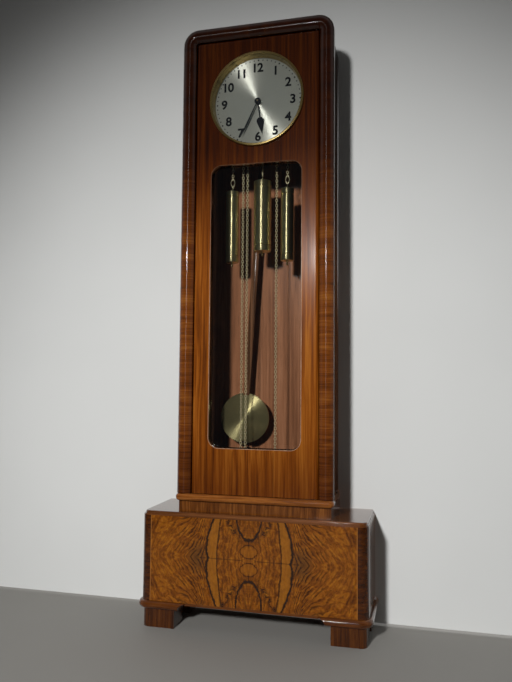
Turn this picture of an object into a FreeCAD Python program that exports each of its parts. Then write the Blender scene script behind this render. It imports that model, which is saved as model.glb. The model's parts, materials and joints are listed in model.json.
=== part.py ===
"""Longcase clock with three chain-hung weights, a swinging pendulum and a hinged glazed door."""
import FreeCAD, Part
import math
import os
import Sketcher

# Driving sizes in millimetres, angles in degrees and counts, written into the sheet by name.
SIZES = {
    # Whole clock
    "overall_height": 1880.0,
    "cut_overrun": 5.0,
    "rest_gap": 0.3,
    "running_clearance": 0.05,
    "half_round_share": 0.48,
    # Base
    "base_width": 697.0,
    "base_depth": 226.0,
    "base_body_height": 257.0,
    "base_board": 18.0,
    "base_corner_width": 32.0,
    "base_corner_radius": 28.0,
    "base_back_board": 6.0,
    "base_top_ledge": 3.5,
    "base_top_ledge_inset": 2.0,
    "base_top_board": 9.0,
    "base_top_inset": 5.5,
    "base_top_rounding": 5.0,
    # Plinth and feet
    "foot_height": 56.0,
    "foot_width": 104.0,
    "foot_depth": 78.0,
    "foot_side_inset": 5.5,
    "foot_front_inset": 4.0,
    "foot_corner_radius": 22.0,
    "plinth_moulding_height": 24.0,
    "plinth_moulding_projection": 11.0,
    "plinth_moulding_width": 40.0,
    "bracket_length": 145.0,
    "bracket_cove_radius": 21.0,
    "base_bottom_board": 8.0,
    "base_bottom_setback": 1.5,
    # Trunk
    "trunk_width": 487.0,
    "trunk_depth": 210.0,
    "spacer_height": 33.0,
    "spacer_side_inset": 6.5,
    "spacer_setback": 14.0,
    "trunk_board_height": 22.0,
    "trunk_board_projection": 3.0,
    "trunk_board_overhang": 4.0,
    "trunk_board_corner_radius": 16.0,
    "frame_width": 43.5,
    "frame_depth": 34.0,
    "frame_dome": 13.0,
    "frame_corner_radius": 50.0,
    "side_inset": 12.0,
    "side_board": 12.0,
    "backboard_thickness": 8.0,
    # Door
    "door_gap": 1.5,
    "door_floor_gap": 1.0,
    "door_thickness": 20.0,
    "door_setback": 13.0,
    "window_width": 289.0,
    "window_bottom_rail": 140.0,
    "window_dial_gap": 205.5,
    "window_corner_radius": 32.0,
    "glass_rebate_width": 8.0,
    "glass_rebate_depth": 6.0,
    "window_glass_thickness": 3.0,
    "bead_lip": 2.0,
    "hinge_pin_radius": 3.0,
    "hinge_pin_reach": 12.0,
    # Dial, bezel and hands
    "dial_centre_drop": 246.0,
    "dial_gap": 3.0,
    "dial_thickness": 1.5,
    "dial_radius": 150.0,
    "dial_foot_radius": 3.0,
    "dial_foot_circle_radius": 90.0,
    "dial_foot_angle": 45.0,
    "dial_bore_radius": 6.0,
    "bezel_outer_radius": 151.0,
    "bezel_bore_radius": 147.5,
    "bezel_lip_depth": 9.0,
    "bezel_lip_edge": 4.0,
    "bezel_lip_radius": 143.5,
    "bezel_sight_radius": 141.5,
    "bezel_throat_radius": 144.0,
    "bezel_tail": 1.0,
    "dial_glass_radius": 145.5,
    "dial_glass_thickness": 2.0,
    "hand_thickness": 1.2,
    "hour_hand_length": 105.7,
    "hour_hand_stem_width": 3.2,
    "hour_hand_leaf_place": 65.0,
    "hour_hand_leaf_width": 24.0,
    "hour_hand_angle": 172.5,
    "hour_hand_front": 30.0,
    "minute_hand_length": 125.4,
    "minute_hand_root_width": 2.6,
    "minute_hand_swell_at": 88.0,
    "minute_hand_swell_width": 5.2,
    "minute_hand_angle": 205.5,
    "minute_hand_front": 26.5,
    "hand_hub_radius": 10.0,
    "hand_nut_radius": 4.0,
    "hand_nut_height": 2.5,
    # Movement
    "plate_half_width": 95.0,
    "plate_head": 25.0,
    "plate_thickness": 2.5,
    "plate_front": 50.0,
    "plate_spacing": 47.5,
    "pillar_radius": 4.0,
    "pillar_edge_inset": 16.0,
    "pivot_radius": 1.2,
    "arbor_radius": 2.0,
    "chain_plane": 78.0,
    "wheel_thickness": 1.5,
    "gear_mesh_gap": 1.0,
    "great_module": 0.6,
    "great_teeth": 96.0,
    "centre_pinion_teeth": 8.0,
    "train_module": 0.65,
    "centre_teeth": 64.0,
    "third_teeth": 60.0,
    "train_pinion_teeth": 8.0,
    "escape_teeth": 30.0,
    "escape_radius": 15.0,
    "escape_tooth_depth": 3.0,
    "escape_tooth_share": 0.35,
    "pallet_clearance": 1.9,
    "motion_distance": 16.0,
    "minute_wheel_teeth": 48.0,
    "cannon_teeth": 16.0,
    "hour_wheel_teeth": 56.0,
    "minute_pinion_teeth": 14.0,
    "cannon_radius": 3.0,
    "hour_pipe_radius": 4.6,
    "going_arbor_offset": 18.5,
    "great_wheel_front": 90.0,
    "centre_wheel_front": 60.0,
    "third_wheel_front": 66.0,
    "escape_wheel_front": 87.0,
    "minute_wheel_front": 46.0,
    "hour_wheel_front": 41.0,
    "side_arbor_drop": 34.0,
    "left_arbor_offset": 75.4,
    "right_arbor_offset": 70.1,
    "side_sprocket_radius": 17.4,
    "going_sprocket_radius": 24.9,
    "sprocket_flange": 3.0,
    "sprocket_width": 12.0,
    "sprocket_groove": 6.0,
    # Seatboard
    "seat_drop": 82.0,
    "seat_thickness": 18.0,
    "seat_front": 45.0,
    "seat_back": 110.0,
    "chain_hole_width": 14.0,
    # Weights and chains
    "chain_radius": 2.4,
    "side_weight_radius": 20.8,
    "side_weight_length": 232.0,
    "side_chain_length": 195.1,
    "middle_weight_radius": 28.0,
    "middle_weight_length": 228.0,
    "middle_chain_length": 176.0,
    "weight_shoulder": 3.0,
    "weight_tip_radius": 3.5,
    "weight_tip_length": 14.0,
    "hook_stem_radius": 1.5,
    "hook_stem_length": 14.0,
    "hook_width": 17.0,
    "hook_height": 30.0,
    "hook_wire": 2.2,
    "chain_end_rise": 95.5,
    "chain_ring_radius": 6.1,
    # Pendulum
    "pendulum_plane": 150.0,
    "pivot_over_dial": 66.0,
    "bob_rise": 225.5,
    "swing_angle": 3.5,
    "suspension_pin_radius": 2.5,
    "suspension_pin_length": 24.0,
    "spring_width": 8.0,
    "spring_thickness": 0.6,
    "spring_length": 26.0,
    "spring_clamp_height": 10.0,
    "rod_width": 20.0,
    "rod_thickness": 8.0,
    "rod_tail": 6.0,
    "rod_thread_radius": 2.5,
    "rod_thread_length": 18.0,
    "bob_radius": 81.0,
    "bob_edge_thickness": 5.0,
    "bob_thickness": 24.0,
    "nut_radius": 8.0,
    "nut_height": 6.0,
    "crutch_length": 96.0,
    "crutch_width": 5.0,
    "crutch_plane": 118.0,
    "crutch_pin_radius": 1.5,
    "cock_plate_half_width": 16.0,
    "cock_plate_thickness": 3.5,
    "cock_bar_height": 12.0,
    "cock_bar_drop": 12.0,
    "cock_half_width": 8.0,
    "cock_cheek_thickness": 4.0,
    "cock_cheek_gap": 16.0,
}

doc = FreeCAD.newDocument("LongcaseClock")
sheet = doc.addObject("Spreadsheet::Sheet", "Sizes")
for row, (name, number) in enumerate(SIZES.items(), start=1):
    sheet.set(f"A{row}", name)
    sheet.set(f"B{row}", str(number))
    sheet.setAlias(f"B{row}", name)
doc.recompute()


class Size:
    """A number with the sheet formula that gives it, so that sums of sizes keep their formula."""

    def __init__(self, value, formula):
        self.value = float(value)
        self.formula = formula

    @staticmethod
    def of(other):
        return other if isinstance(other, Size) else Size(other, repr(float(other)))

    def __add__(self, other):
        other = Size.of(other)
        return Size(self.value + other.value, f"({self.formula} + {other.formula})")

    def __sub__(self, other):
        other = Size.of(other)
        return Size(self.value - other.value, f"({self.formula} - {other.formula})")

    def __mul__(self, other):
        other = Size.of(other)
        return Size(self.value * other.value, f"({self.formula} * {other.formula})")

    def __truediv__(self, other):
        other = Size.of(other)
        return Size(self.value / other.value, f"({self.formula} / {other.formula})")

    def __neg__(self):
        return Size(-self.value, f"(0 - {self.formula})")



def cosine(angle):
    """Cosine of an angle in degrees."""
    return Size(math.cos(math.radians(angle.value)), f"cos({angle.formula})")


def sine(angle):
    """Sine of an angle in degrees."""
    return Size(math.sin(math.radians(angle.value)), f"sin({angle.formula})")


def root(area):
    """Square root, for a side worked out from two others."""
    return Size(math.sqrt(area.value), f"sqrt({area.formula})")


diagonal = root(Size(2.0, "2"))


class SheetSizes:
    """Reads a named size from the sheet."""

    def __getattr__(self, alias):
        return Size(SIZES[alias], f"Sizes.{alias}")


size = SheetSizes()
ZERO = Size(0.0, "0")
TOUCH = 1e-7
QUARTER_TURN = 90
FULL_TURN = 360
ALONG_Y = FreeCAD.Rotation(FreeCAD.Vector(1, 0, 0), -QUARTER_TURN)
ALONG_Z = FreeCAD.Rotation()
SIDEWAYS = FreeCAD.Rotation(FreeCAD.Vector(0, 0, 1), QUARTER_TURN)
TURN_Y = FreeCAD.Vector(0, 1, 0)
START_POINT = 1
END_POINT = 2
CENTRE_POINT = 3
bob_ring_shares = (0.62,)
pieces = []


def bind(obj, prop, term):
    """Ties one property of an object to the sheet."""
    obj.setExpression(prop, Size.of(term).formula)


def place(obj, x=ZERO, y=ZERO, z=ZERO, rotation=ALONG_Z):
    """Turns an object, then ties its place to the sheet."""
    obj.Placement = FreeCAD.Placement(FreeCAD.Vector(), rotation)
    bind(obj, "Placement.Base.x", x)
    bind(obj, "Placement.Base.y", y)
    bind(obj, "Placement.Base.z", z)
    return obj


def tilt(obj, x, y, z, angle):
    """Turns an object about the Y axis through its own origin and sets it in place."""
    obj.Placement = FreeCAD.Placement(FreeCAD.Vector(), FreeCAD.Rotation(TURN_Y, angle.value))
    bind(obj, "Placement.Rotation.Angle", angle)
    bind(obj, "Placement.Base.x", x)
    bind(obj, "Placement.Base.y", y)
    bind(obj, "Placement.Base.z", z)
    return obj


def piece(obj, label):
    """Names a finished sub-part and adds it to the clock."""
    obj.Label = label
    pieces.append(obj)
    return obj


def block(name, x, y, z):
    """Box between two places on each axis."""
    obj = doc.addObject("Part::Box", name)
    bind(obj, "Length", x[1] - x[0])
    bind(obj, "Width", y[1] - y[0])
    bind(obj, "Height", z[1] - z[0])
    return place(obj, x[0], y[0], z[0])


def rod(name, radius, length, x=ZERO, y=ZERO, z=ZERO, along=ALONG_Y):
    """Round bar that starts at a place and runs along an axis."""
    obj = doc.addObject("Part::Cylinder", name)
    bind(obj, "Radius", radius)
    bind(obj, "Height", length)
    return place(obj, x, y, z, along)


def join(name, *parts):
    """Parts made as one."""
    obj = doc.addObject("Part::MultiFuse", name)
    obj.Shapes = list(parts)
    obj.Refine = True
    return obj


def cut(name, base, *tools):
    """Takes one or more tools out of a base."""
    obj = doc.addObject("Part::Cut", name)
    obj.Base = base
    obj.Tool = tools[0] if len(tools) == 1 else join(name + "_tools", *tools)
    return obj


class Outline:
    """Closed outline of straight runs and round stretches, drawn from point to point."""

    def __init__(self, u, v):
        self.points = [(Size.of(u), Size.of(v))]
        self.bends = []

    def line(self, u, v):
        self.points.append((Size.of(u), Size.of(v)))
        self.bends.append(None)
        return self

    def arc(self, u, v, radius, centre, clockwise=False):
        self.points.append((Size.of(u), Size.of(v)))
        self.bends.append((radius, centre, clockwise))
        return self

    def close(self):
        self.bends.append(None)
        return self

    def end_arc(self, radius, centre, clockwise=False):
        self.bends.append((radius, centre, clockwise))
        return self


def fix_point(sketch, index, corner, u, v):
    """Holds a corner of a sketch at its distances from the origin."""
    for axis, rule, term in ((-2, "DistanceX", u), (-1, "DistanceY", v)):
        if abs(term.value) < TOUCH:
            sketch.addConstraint(Sketcher.Constraint("PointOnObject", index, corner, axis))
        else:
            origin = (-1, START_POINT)
            count = sketch.addConstraint(Sketcher.Constraint(rule, *origin, index, corner, term.value))
            bind(sketch, f"Constraints[{count}]", term)


def draw(sketch, outline):
    """Draws a closed outline into a sketch, each corner and radius tied to the sheet."""
    first = sketch.GeometryCount
    number = len(outline.points)
    ends = []
    for place_number, bend in enumerate(outline.bends):
        u0, v0 = outline.points[place_number]
        u1, v1 = outline.points[(place_number + 1) % number]
        start = FreeCAD.Vector(u0.value, v0.value, 0)
        end = FreeCAD.Vector(u1.value, v1.value, 0)
        if bend is None:
            sketch.addGeometry(Part.LineSegment(start, end), False)
            ends.append((START_POINT, END_POINT))
            continue
        radius, centre, clockwise = bend
        middle = FreeCAD.Vector(Size.of(centre[0]).value, Size.of(centre[1]).value, 0)
        low, high = (end, start) if clockwise else (start, end)
        angle_low = math.atan2(low.y - middle.y, low.x - middle.x)
        angle_high = math.atan2(high.y - middle.y, high.x - middle.x)
        if angle_high <= angle_low:
            angle_high += 2 * math.pi
        circle = Part.Circle(middle, FreeCAD.Vector(0, 0, 1), radius.value)
        sketch.addGeometry(Part.ArcOfCircle(circle, angle_low, angle_high), False)
        ends.append((END_POINT, START_POINT) if clockwise else (START_POINT, END_POINT))
    for place_number, bend in enumerate(outline.bends):
        index = first + place_number
        following = first + (place_number + 1) % number
        next_start = ends[(place_number + 1) % number][0]
        last = ends[place_number][1]
        sketch.addConstraint(Sketcher.Constraint("Coincident", index, last, following, next_start))
        fix_point(sketch, index, ends[place_number][0], *outline.points[place_number])
        if bend is not None:
            count = sketch.addConstraint(Sketcher.Constraint("Radius", index, bend[0].value))
            bind(sketch, f"Constraints[{count}]", bend[0])


def draw_circle(sketch, u, v, radius):
    """Draws a full circle into a sketch."""
    middle = FreeCAD.Vector(u.value, v.value, 0)
    index = sketch.addGeometry(Part.Circle(middle, FreeCAD.Vector(0, 0, 1), radius.value), False)
    fix_point(sketch, index, CENTRE_POINT, u, v)
    count = sketch.addConstraint(Sketcher.Constraint("Radius", index, radius.value))
    bind(sketch, f"Constraints[{count}]", radius)


def new_sketch(body, name, role, offset=ZERO):
    """Sketch on one of a body's own origin planes, shifted along the plane's normal."""
    sketch = body.newObject("Sketcher::SketchObject", name)
    plane = next(feature for feature in body.Origin.OriginFeatures if feature.Role == role)
    sketch.AttachmentSupport = [(plane, "")]
    sketch.MapMode = "FlatFace"
    bind(sketch, "AttachmentOffset.Base.z", offset)
    return sketch


def pad(body, sketch, length, backwards=False):
    """Raises a sketch into a solid; backwards runs against the sketch plane's normal."""
    feature = body.newObject("PartDesign::Pad", sketch.Name + "_pad")
    feature.Profile = sketch
    feature.Reversed = backwards
    bind(feature, "Length", length)
    doc.recompute()
    return feature


def pocket(body, sketch, length, backwards=False):
    """Cuts a sketch out of a body; it cuts against the plane's normal unless backwards."""
    before = body.Shape.Volume
    feature = body.newObject("PartDesign::Pocket", sketch.Name + "_pocket")
    feature.Profile = sketch
    feature.Reversed = backwards
    bind(feature, "Length", length)
    doc.recompute()
    if body.Shape.Volume >= before:
        raise RuntimeError(f"{feature.Name} cuts nothing")
    return feature


def plate_xz(name, outline, front, depth, holes=()):
    """Flat piece drawn in the front view, from its front face to its depth behind it."""
    body = doc.addObject("PartDesign::Body", name)
    sketch = new_sketch(body, name + "_front_view", "XZ_Plane", -front)
    draw(sketch, outline)
    for hole in holes:
        if isinstance(hole, Outline):
            draw(sketch, hole)
        else:
            draw_circle(sketch, *hole)
    pad(body, sketch, depth, backwards=True)
    return body


def plate_xy(name, outline, bottom, height, holes=()):
    """Flat piece drawn in the top view, from its underside to its height."""
    body = doc.addObject("PartDesign::Body", name)
    sketch = new_sketch(body, name + "_top_view", "XY_Plane", bottom)
    draw(sketch, outline)
    for hole in holes:
        draw(sketch, hole)
    pad(body, sketch, height)
    return body


def turned(name, outline):
    """Piece turned about its own axis; the outline is radius by height."""
    body = doc.addObject("PartDesign::Body", name)
    sketch = new_sketch(body, name + "_half_section", "XZ_Plane")
    draw(sketch, outline)
    feature = body.newObject("PartDesign::Revolution", name + "_turn")
    feature.Profile = sketch
    feature.ReferenceAxis = (sketch, ["V_Axis"])
    feature.Angle = FULL_TURN
    doc.recompute()
    return body


def round_edges(body, base, wanted, radius):
    """Rounds the edges of a feature that a test picks out."""
    names = [f"Edge{number}" for number, edge in enumerate(base.Shape.Edges, start=1) if wanted(edge)]
    if not names:
        raise RuntimeError(f"{base.Name} has no edge to round")
    feature = body.newObject("PartDesign::Fillet", base.Name + "_rounded")
    feature.Base = (base, names)
    bind(feature, "Radius", radius)
    doc.recompute()
    return feature


def near(number, size_wanted):
    """True where a measured number equals a size."""
    return abs(number - Size.of(size_wanted).value) < size.running_clearance.value


def box_outline(u, v, radius=None):
    """Rectangle, with all four corners rounded where a radius is given."""
    if radius is None:
        return Outline(u[0], v[0]).line(u[1], v[0]).line(u[1], v[1]).line(u[0], v[1]).close()
    low_u, high_u = u[0] + radius, u[1] - radius
    low_v, high_v = v[0] + radius, v[1] - radius
    shape = Outline(low_u, v[0]).line(high_u, v[0]).arc(u[1], low_v, radius, (high_u, low_v))
    shape.line(u[1], high_v).arc(high_u, v[1], radius, (high_u, high_v))
    shape.line(low_u, v[1]).arc(u[0], high_v, radius, (low_u, high_v))
    return shape.line(u[0], low_v).end_arc(radius, (low_u, low_v))


# Shared places, all worked out from the sizes
y_back = (size.base_depth + size.plinth_moulding_projection) / 2
y_base = y_back - size.base_depth
y_trunk = y_back - size.trunk_depth
half_base = size.base_width / 2
half_trunk = size.trunk_width / 2
z_plinth = size.foot_height + size.plinth_moulding_height
z_base_top = z_plinth + size.base_body_height
z_spacer = z_base_top + size.base_top_ledge + size.base_top_board
z_trunk_board = z_spacer + size.spacer_height
z_trunk = z_trunk_board + size.trunk_board_height
z_top = size.overall_height
y_carcass = y_trunk + size.frame_depth
half_carcass = half_trunk - size.side_inset
half_inside = half_carcass - size.side_board
z_frame_corner = z_top - size.frame_corner_radius
carcass_corner = size.frame_corner_radius - size.side_inset
inside_corner = carcass_corner - size.side_board
z_carcass_top = z_top - size.side_inset
z_inside_top = z_carcass_top - size.side_board
frame_inner_corner = size.frame_corner_radius - size.frame_width
half_opening = half_trunk - size.frame_width
y_door = y_trunk + size.door_setback
half_door = half_opening - size.door_gap
z_door = z_trunk + size.door_floor_gap
z_door_top = z_top - size.frame_width - size.door_gap
hinge_x = half_door - size.door_thickness / 2
hinge_y = y_door + size.door_thickness / 2
z_dial = z_top - size.dial_centre_drop
y_dial = y_door + size.door_thickness + size.dial_gap
y_plate = y_trunk + size.plate_front
y_inner = y_plate + size.plate_thickness
y_back_plate = y_inner + size.plate_spacing
y_chain = y_trunk + size.chain_plane
y_pendulum = y_trunk + size.pendulum_plane
z_pivot = z_dial + size.pivot_over_dial
pendulum_length = z_pivot - z_trunk - size.bob_rise
z_seat = z_dial - size.seat_drop


# Base
def make_base():
    """The box of the base: figured front between rounded corner posts, sides, back and top."""
    front = (y_base, y_base + size.base_board)
    height = (z_plinth, z_base_top)
    half_panel = half_base - size.base_corner_width
    piece(block("base_front", (-half_panel, half_panel), front, height), "base_front")
    for side, sign in (("left", -1), ("right", 1)):
        outer = half_base * sign
        inner = half_panel * sign
        bend = (half_base - size.base_corner_radius) * sign
        y_bend = y_base + size.base_corner_radius
        y_end = y_base + size.base_corner_width
        post = Outline(inner, y_base).line(bend, y_base)
        post.arc(outer, y_bend, size.base_corner_radius, (bend, y_bend), clockwise=sign < 0)
        post.line(outer, y_end).line(inner, y_end).close()
        piece(plate_xy(f"base_corner_{side}", post, z_plinth, size.base_body_height), f"base_corner_{side}")
        board = (half_base - size.base_board) * sign
        across = (outer, board) if sign < 0 else (board, outer)
        piece(block(f"base_side_{side}", across, (y_end, y_back), height), f"base_side_{side}")
    half_back = half_base - size.base_board
    back = (y_back - size.base_back_board, y_back)
    piece(block("base_back", (-half_back, half_back), back, height), "base_back")


def front_cornered(half_width, y_front, y_rear, radius):
    """Top view of a board whose two front corners are rounded."""
    inner = half_width - radius
    y_bend = y_front + radius
    shape = Outline(-inner, y_front).line(inner, y_front)
    shape.arc(half_width, y_bend, radius, (inner, y_bend))
    shape.line(half_width, y_rear).line(-half_width, y_rear).line(-half_width, y_bend)
    return shape.end_arc(radius, (-inner, y_bend))


def make_base_top():
    """Top board of the base with a rounded edge, on a thin ledge."""
    body = doc.addObject("PartDesign::Body", "base_top")
    ledge = new_sketch(body, "base_top_ledge", "XY_Plane", z_base_top)
    inset = size.base_top_ledge_inset
    draw(ledge, front_cornered(half_base - inset, y_base + inset, y_back, size.base_corner_radius - inset))
    pad(body, ledge, size.base_top_ledge)
    board = new_sketch(body, "base_top_board", "XY_Plane", z_base_top + size.base_top_ledge)
    inset = size.base_top_inset
    draw(board, front_cornered(half_base - inset, y_base + inset, y_back, size.base_corner_radius - inset))
    raised = pad(body, board, size.base_top_board)

    def upper_edge(edge):
        box = edge.BoundBox
        at_back = near(box.YMin, y_back)
        return near(box.ZMin, z_spacer) and near(box.ZMax, z_spacer) and not at_back

    round_edges(body, raised, upper_edge, size.base_top_rounding)
    piece(body, "base_top")


# Plinth and feet
def make_plinth_moulding(side, sign):
    """Half-round bracket moulding round one front corner, coved where it ends on the front."""
    name = f"plinth_moulding_{side}"
    projection = size.plinth_moulding_projection
    outer = (half_base + projection) * sign
    y_front = y_base - projection
    radius = size.base_corner_radius + projection
    bend = (half_base - size.base_corner_radius) * sign
    y_bend = y_base + size.base_corner_radius
    tip = (half_base - size.bracket_length) * sign
    inner = (half_base + projection - size.plinth_moulding_width) * sign
    y_inner_edge = y_front + size.plinth_moulding_width
    shape = Outline(tip, y_front).line(bend, y_front)
    shape.arc(outer, y_bend, radius, (bend, y_bend), clockwise=sign < 0)
    shape.line(outer, y_back).line(inner, y_back).line(inner, y_inner_edge).line(tip, y_inner_edge).close()
    body = doc.addObject("PartDesign::Body", name)
    sketch = new_sketch(body, name + "_top_view", "XY_Plane", size.foot_height)
    draw(sketch, shape)
    raised = pad(body, sketch, size.plinth_moulding_height)

    def outer_edge(edge):
        box = edge.BoundBox
        level = near(box.ZMin, box.ZMax)
        on_front = near(box.YMax, y_front)
        on_side = near(box.XMin, outer) and near(box.XMax, outer)
        on_bend = near(box.YMin, y_front) and near(box.YMax, y_bend)
        return level and (on_front or on_side or on_bend)

    round_edges(body, raised, outer_edge, size.plinth_moulding_height * size.half_round_share)
    cove = new_sketch(body, name + "_cove", "XZ_Plane", -y_front + size.cut_overrun)
    draw_circle(cove, tip, size.foot_height, size.bracket_cove_radius)
    pocket(body, cove, size.plinth_moulding_width + size.cut_overrun * 2)
    piece(body, name)


def make_feet():
    """Four block feet; the front ones have a rounded outer corner."""
    for side, sign in (("left", -1), ("right", 1)):
        outer = (half_base - size.foot_side_inset) * sign
        inner = (half_base - size.foot_side_inset - size.foot_width) * sign
        y_front = y_base + size.foot_front_inset
        y_end = y_front + size.foot_depth
        bend = (half_base - size.foot_side_inset - size.foot_corner_radius) * sign
        y_bend = y_front + size.foot_corner_radius
        shape = Outline(inner, y_front).line(bend, y_front)
        shape.arc(outer, y_bend, size.foot_corner_radius, (bend, y_bend), clockwise=sign < 0)
        shape.line(outer, y_end).line(inner, y_end).close()
        piece(plate_xy(f"foot_front_{side}", shape, ZERO, size.foot_height), f"foot_front_{side}")
        across = (outer, inner) if sign < 0 else (inner, outer)
        rear = (y_back - size.foot_depth, y_back)
        piece(block(f"foot_back_{side}", across, rear, (ZERO, size.foot_height)), f"foot_back_{side}")


def make_base_bottom():
    """Bottom board whose front edge shows as a thin rail between the two brackets."""
    narrow = half_base - size.bracket_length
    wide = half_base + size.plinth_moulding_projection - size.plinth_moulding_width
    y_front = y_base + size.base_bottom_setback
    y_step = y_base - size.plinth_moulding_projection + size.plinth_moulding_width
    shape = Outline(-narrow, y_front).line(narrow, y_front).line(narrow, y_step).line(wide, y_step)
    shape.line(wide, y_back).line(-wide, y_back).line(-wide, y_step).line(-narrow, y_step).close()
    thickness = size.base_bottom_board
    piece(plate_xy("base_bottom", shape, z_plinth - thickness, thickness), "base_bottom")


# Trunk
def make_trunk_foot():
    """Set-back spacer and the bullnosed board that the trunk stands on."""
    half_spacer = half_trunk - size.spacer_side_inset
    deep = (y_trunk + size.spacer_setback, y_back)
    height = (z_spacer, z_trunk_board)
    piece(block("trunk_spacer", (-half_spacer, half_spacer), deep, height), "trunk_spacer")
    wide = half_trunk + size.trunk_board_projection
    narrow = half_carcass + size.trunk_board_overhang
    y_front = y_trunk - size.trunk_board_projection
    radius = size.trunk_board_corner_radius
    bend = wide - radius
    y_bend = y_front + radius
    shape = Outline(-bend, y_front).line(bend, y_front).arc(wide, y_bend, radius, (bend, y_bend))
    shape.line(wide, y_carcass).line(narrow, y_carcass).line(narrow, y_back)
    shape.line(-narrow, y_back).line(-narrow, y_carcass).line(-wide, y_carcass).line(-wide, y_bend)
    shape.end_arc(radius, (-bend, y_bend))
    body = doc.addObject("PartDesign::Body", "trunk_board_blank")
    sketch = new_sketch(body, "trunk_board_top_view", "XY_Plane", z_trunk_board)
    draw(sketch, shape)
    raised = pad(body, sketch, size.trunk_board_height)

    def outer_edge(edge):
        box = edge.BoundBox
        level = near(box.ZMin, box.ZMax)
        return level and box.YMax < y_carcass.value and box.YMin < y_bend.value + radius.value

    round_edges(body, raised, outer_edge, size.trunk_board_height * size.half_round_share)
    hole = rod("trunk_board_hinge_hole", size.hinge_pin_radius, size.hinge_pin_reach + size.cut_overrun,
               hinge_x, hinge_y, z_trunk - size.hinge_pin_reach, ALONG_Z)
    piece(cut("trunk_base_board", body, hole), "trunk_base_board")


def make_carcass():
    """Sides, curved top and backboard behind the front frame."""
    deep = (y_carcass, y_back)
    height = (z_trunk, z_frame_corner)
    piece(block("trunk_side_left", (-half_carcass, -half_inside), deep, height), "trunk_side_left")
    piece(block("trunk_side_right", (half_inside, half_carcass), deep, height), "trunk_side_right")
    bend = half_carcass - carcass_corner
    hoop = Outline(half_carcass, z_frame_corner)
    hoop.arc(bend, z_carcass_top, carcass_corner, (bend, z_frame_corner))
    hoop.line(-bend, z_carcass_top)
    hoop.arc(-half_carcass, z_frame_corner, carcass_corner, (-bend, z_frame_corner))
    hoop.line(-half_inside, z_frame_corner)
    hoop.arc(-bend, z_inside_top, inside_corner, (-bend, z_frame_corner), clockwise=True)
    hoop.line(bend, z_inside_top)
    hoop.arc(half_inside, z_frame_corner, inside_corner, (bend, z_frame_corner), clockwise=True)
    hoop.close()
    piece(plate_xz("trunk_top", hoop, y_carcass, y_back - y_carcass), "trunk_top")
    back = Outline(-half_inside, z_trunk).line(half_inside, z_trunk).line(half_inside, z_frame_corner)
    back.arc(bend, z_inside_top, inside_corner, (bend, z_frame_corner))
    back.line(-bend, z_inside_top)
    back.arc(-half_inside, z_frame_corner, inside_corner, (-bend, z_frame_corner))
    back.close()
    thickness = size.backboard_thickness
    piece(plate_xz("backboard", back, y_back - thickness, thickness), "backboard")


def frame_section(inner, outer, y_shift=ZERO):
    """Bullnose section of the front frame, from its inner to its outer edge."""
    width = size.frame_width
    dome = size.frame_dome
    radius = (width * width / 4 + dome * dome) / (dome * 2)
    y_edge = y_shift + dome
    y_rear = y_shift + size.frame_depth
    crown = ((inner + outer) / 2, y_shift + radius)
    rising = inner.value < outer.value
    shape = Outline(inner, y_rear).line(inner, y_edge)
    shape.arc(outer, y_edge, radius, crown, clockwise=not rising)
    shape.line(outer, y_rear).close()
    return shape


def make_front_frame():
    """Bullnose frame round the door: two posts and a top rail with quarter-turned corners."""
    for side, sign in (("left", -1), ("right", 1)):
        section = frame_section(half_opening * sign, half_trunk * sign, y_trunk)
        body = plate_xy(f"frame_{side}", section, z_trunk, z_frame_corner - z_trunk)
        piece(body, f"frame_{side}")
    bend = half_trunk - size.frame_corner_radius
    corners = []
    for side, sign in (("left", -1), ("right", 1)):
        body = doc.addObject("PartDesign::Body", f"frame_corner_{side}")
        sketch = new_sketch(body, f"frame_corner_{side}_section", "XY_Plane")
        draw(sketch, frame_section(frame_inner_corner * sign, size.frame_corner_radius * sign))
        feature = body.newObject("PartDesign::Revolution", f"frame_corner_{side}_turn")
        feature.Profile = sketch
        feature.ReferenceAxis = (sketch, ["V_Axis"])
        feature.Angle = QUARTER_TURN
        feature.Reversed = sign > 0
        doc.recompute()
        corners.append(place(body, bend * sign, y_trunk, z_frame_corner))
    rail = doc.addObject("PartDesign::Body", "frame_rail")
    sketch = new_sketch(rail, "frame_rail_section", "YZ_Plane", -bend)
    width = size.frame_width
    dome = size.frame_dome
    radius = (width * width / 4 + dome * dome) / (dome * 2)
    z_low = z_top - width
    y_edge = y_trunk + dome
    shape = Outline(y_carcass, z_low).line(y_edge, z_low)
    shape.arc(y_edge, z_top, radius, (y_trunk + radius, z_top - width / 2), clockwise=True)
    shape.line(y_carcass, z_top).close()
    draw(sketch, shape)
    pad(rail, sketch, bend * 2)
    hole = rod("frame_hinge_hole", size.hinge_pin_radius, size.hinge_pin_reach + size.cut_overrun,
               hinge_x, hinge_y, z_low - size.cut_overrun, ALONG_Z)
    piece(cut("frame_top", join("frame_top_blank", corners[0], rail, corners[1]), hole), "frame_top")


def make_seatboard():
    """Board across the trunk that carries the movement, slotted for the chains."""
    height = (z_seat - size.seat_thickness, z_seat)
    deep = (y_trunk + size.seat_front, y_trunk + size.seat_back)
    board = block("seatboard_blank", (-half_inside, half_inside), deep, height)
    half_hole = size.chain_hole_width / 2
    along = (y_chain - half_hole, y_chain + half_hole)
    through = (height[0] - size.cut_overrun, height[1] + size.cut_overrun)
    holes = []
    for name, low, high in chain_spans():
        for end, x in (("left", low), ("right", high)):
            across = (x - half_hole, x + half_hole)
            holes.append(block(f"{name}_{end}_chain_hole", across, along, through))
    piece(cut("seatboard", board, *holes), "seatboard")


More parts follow.
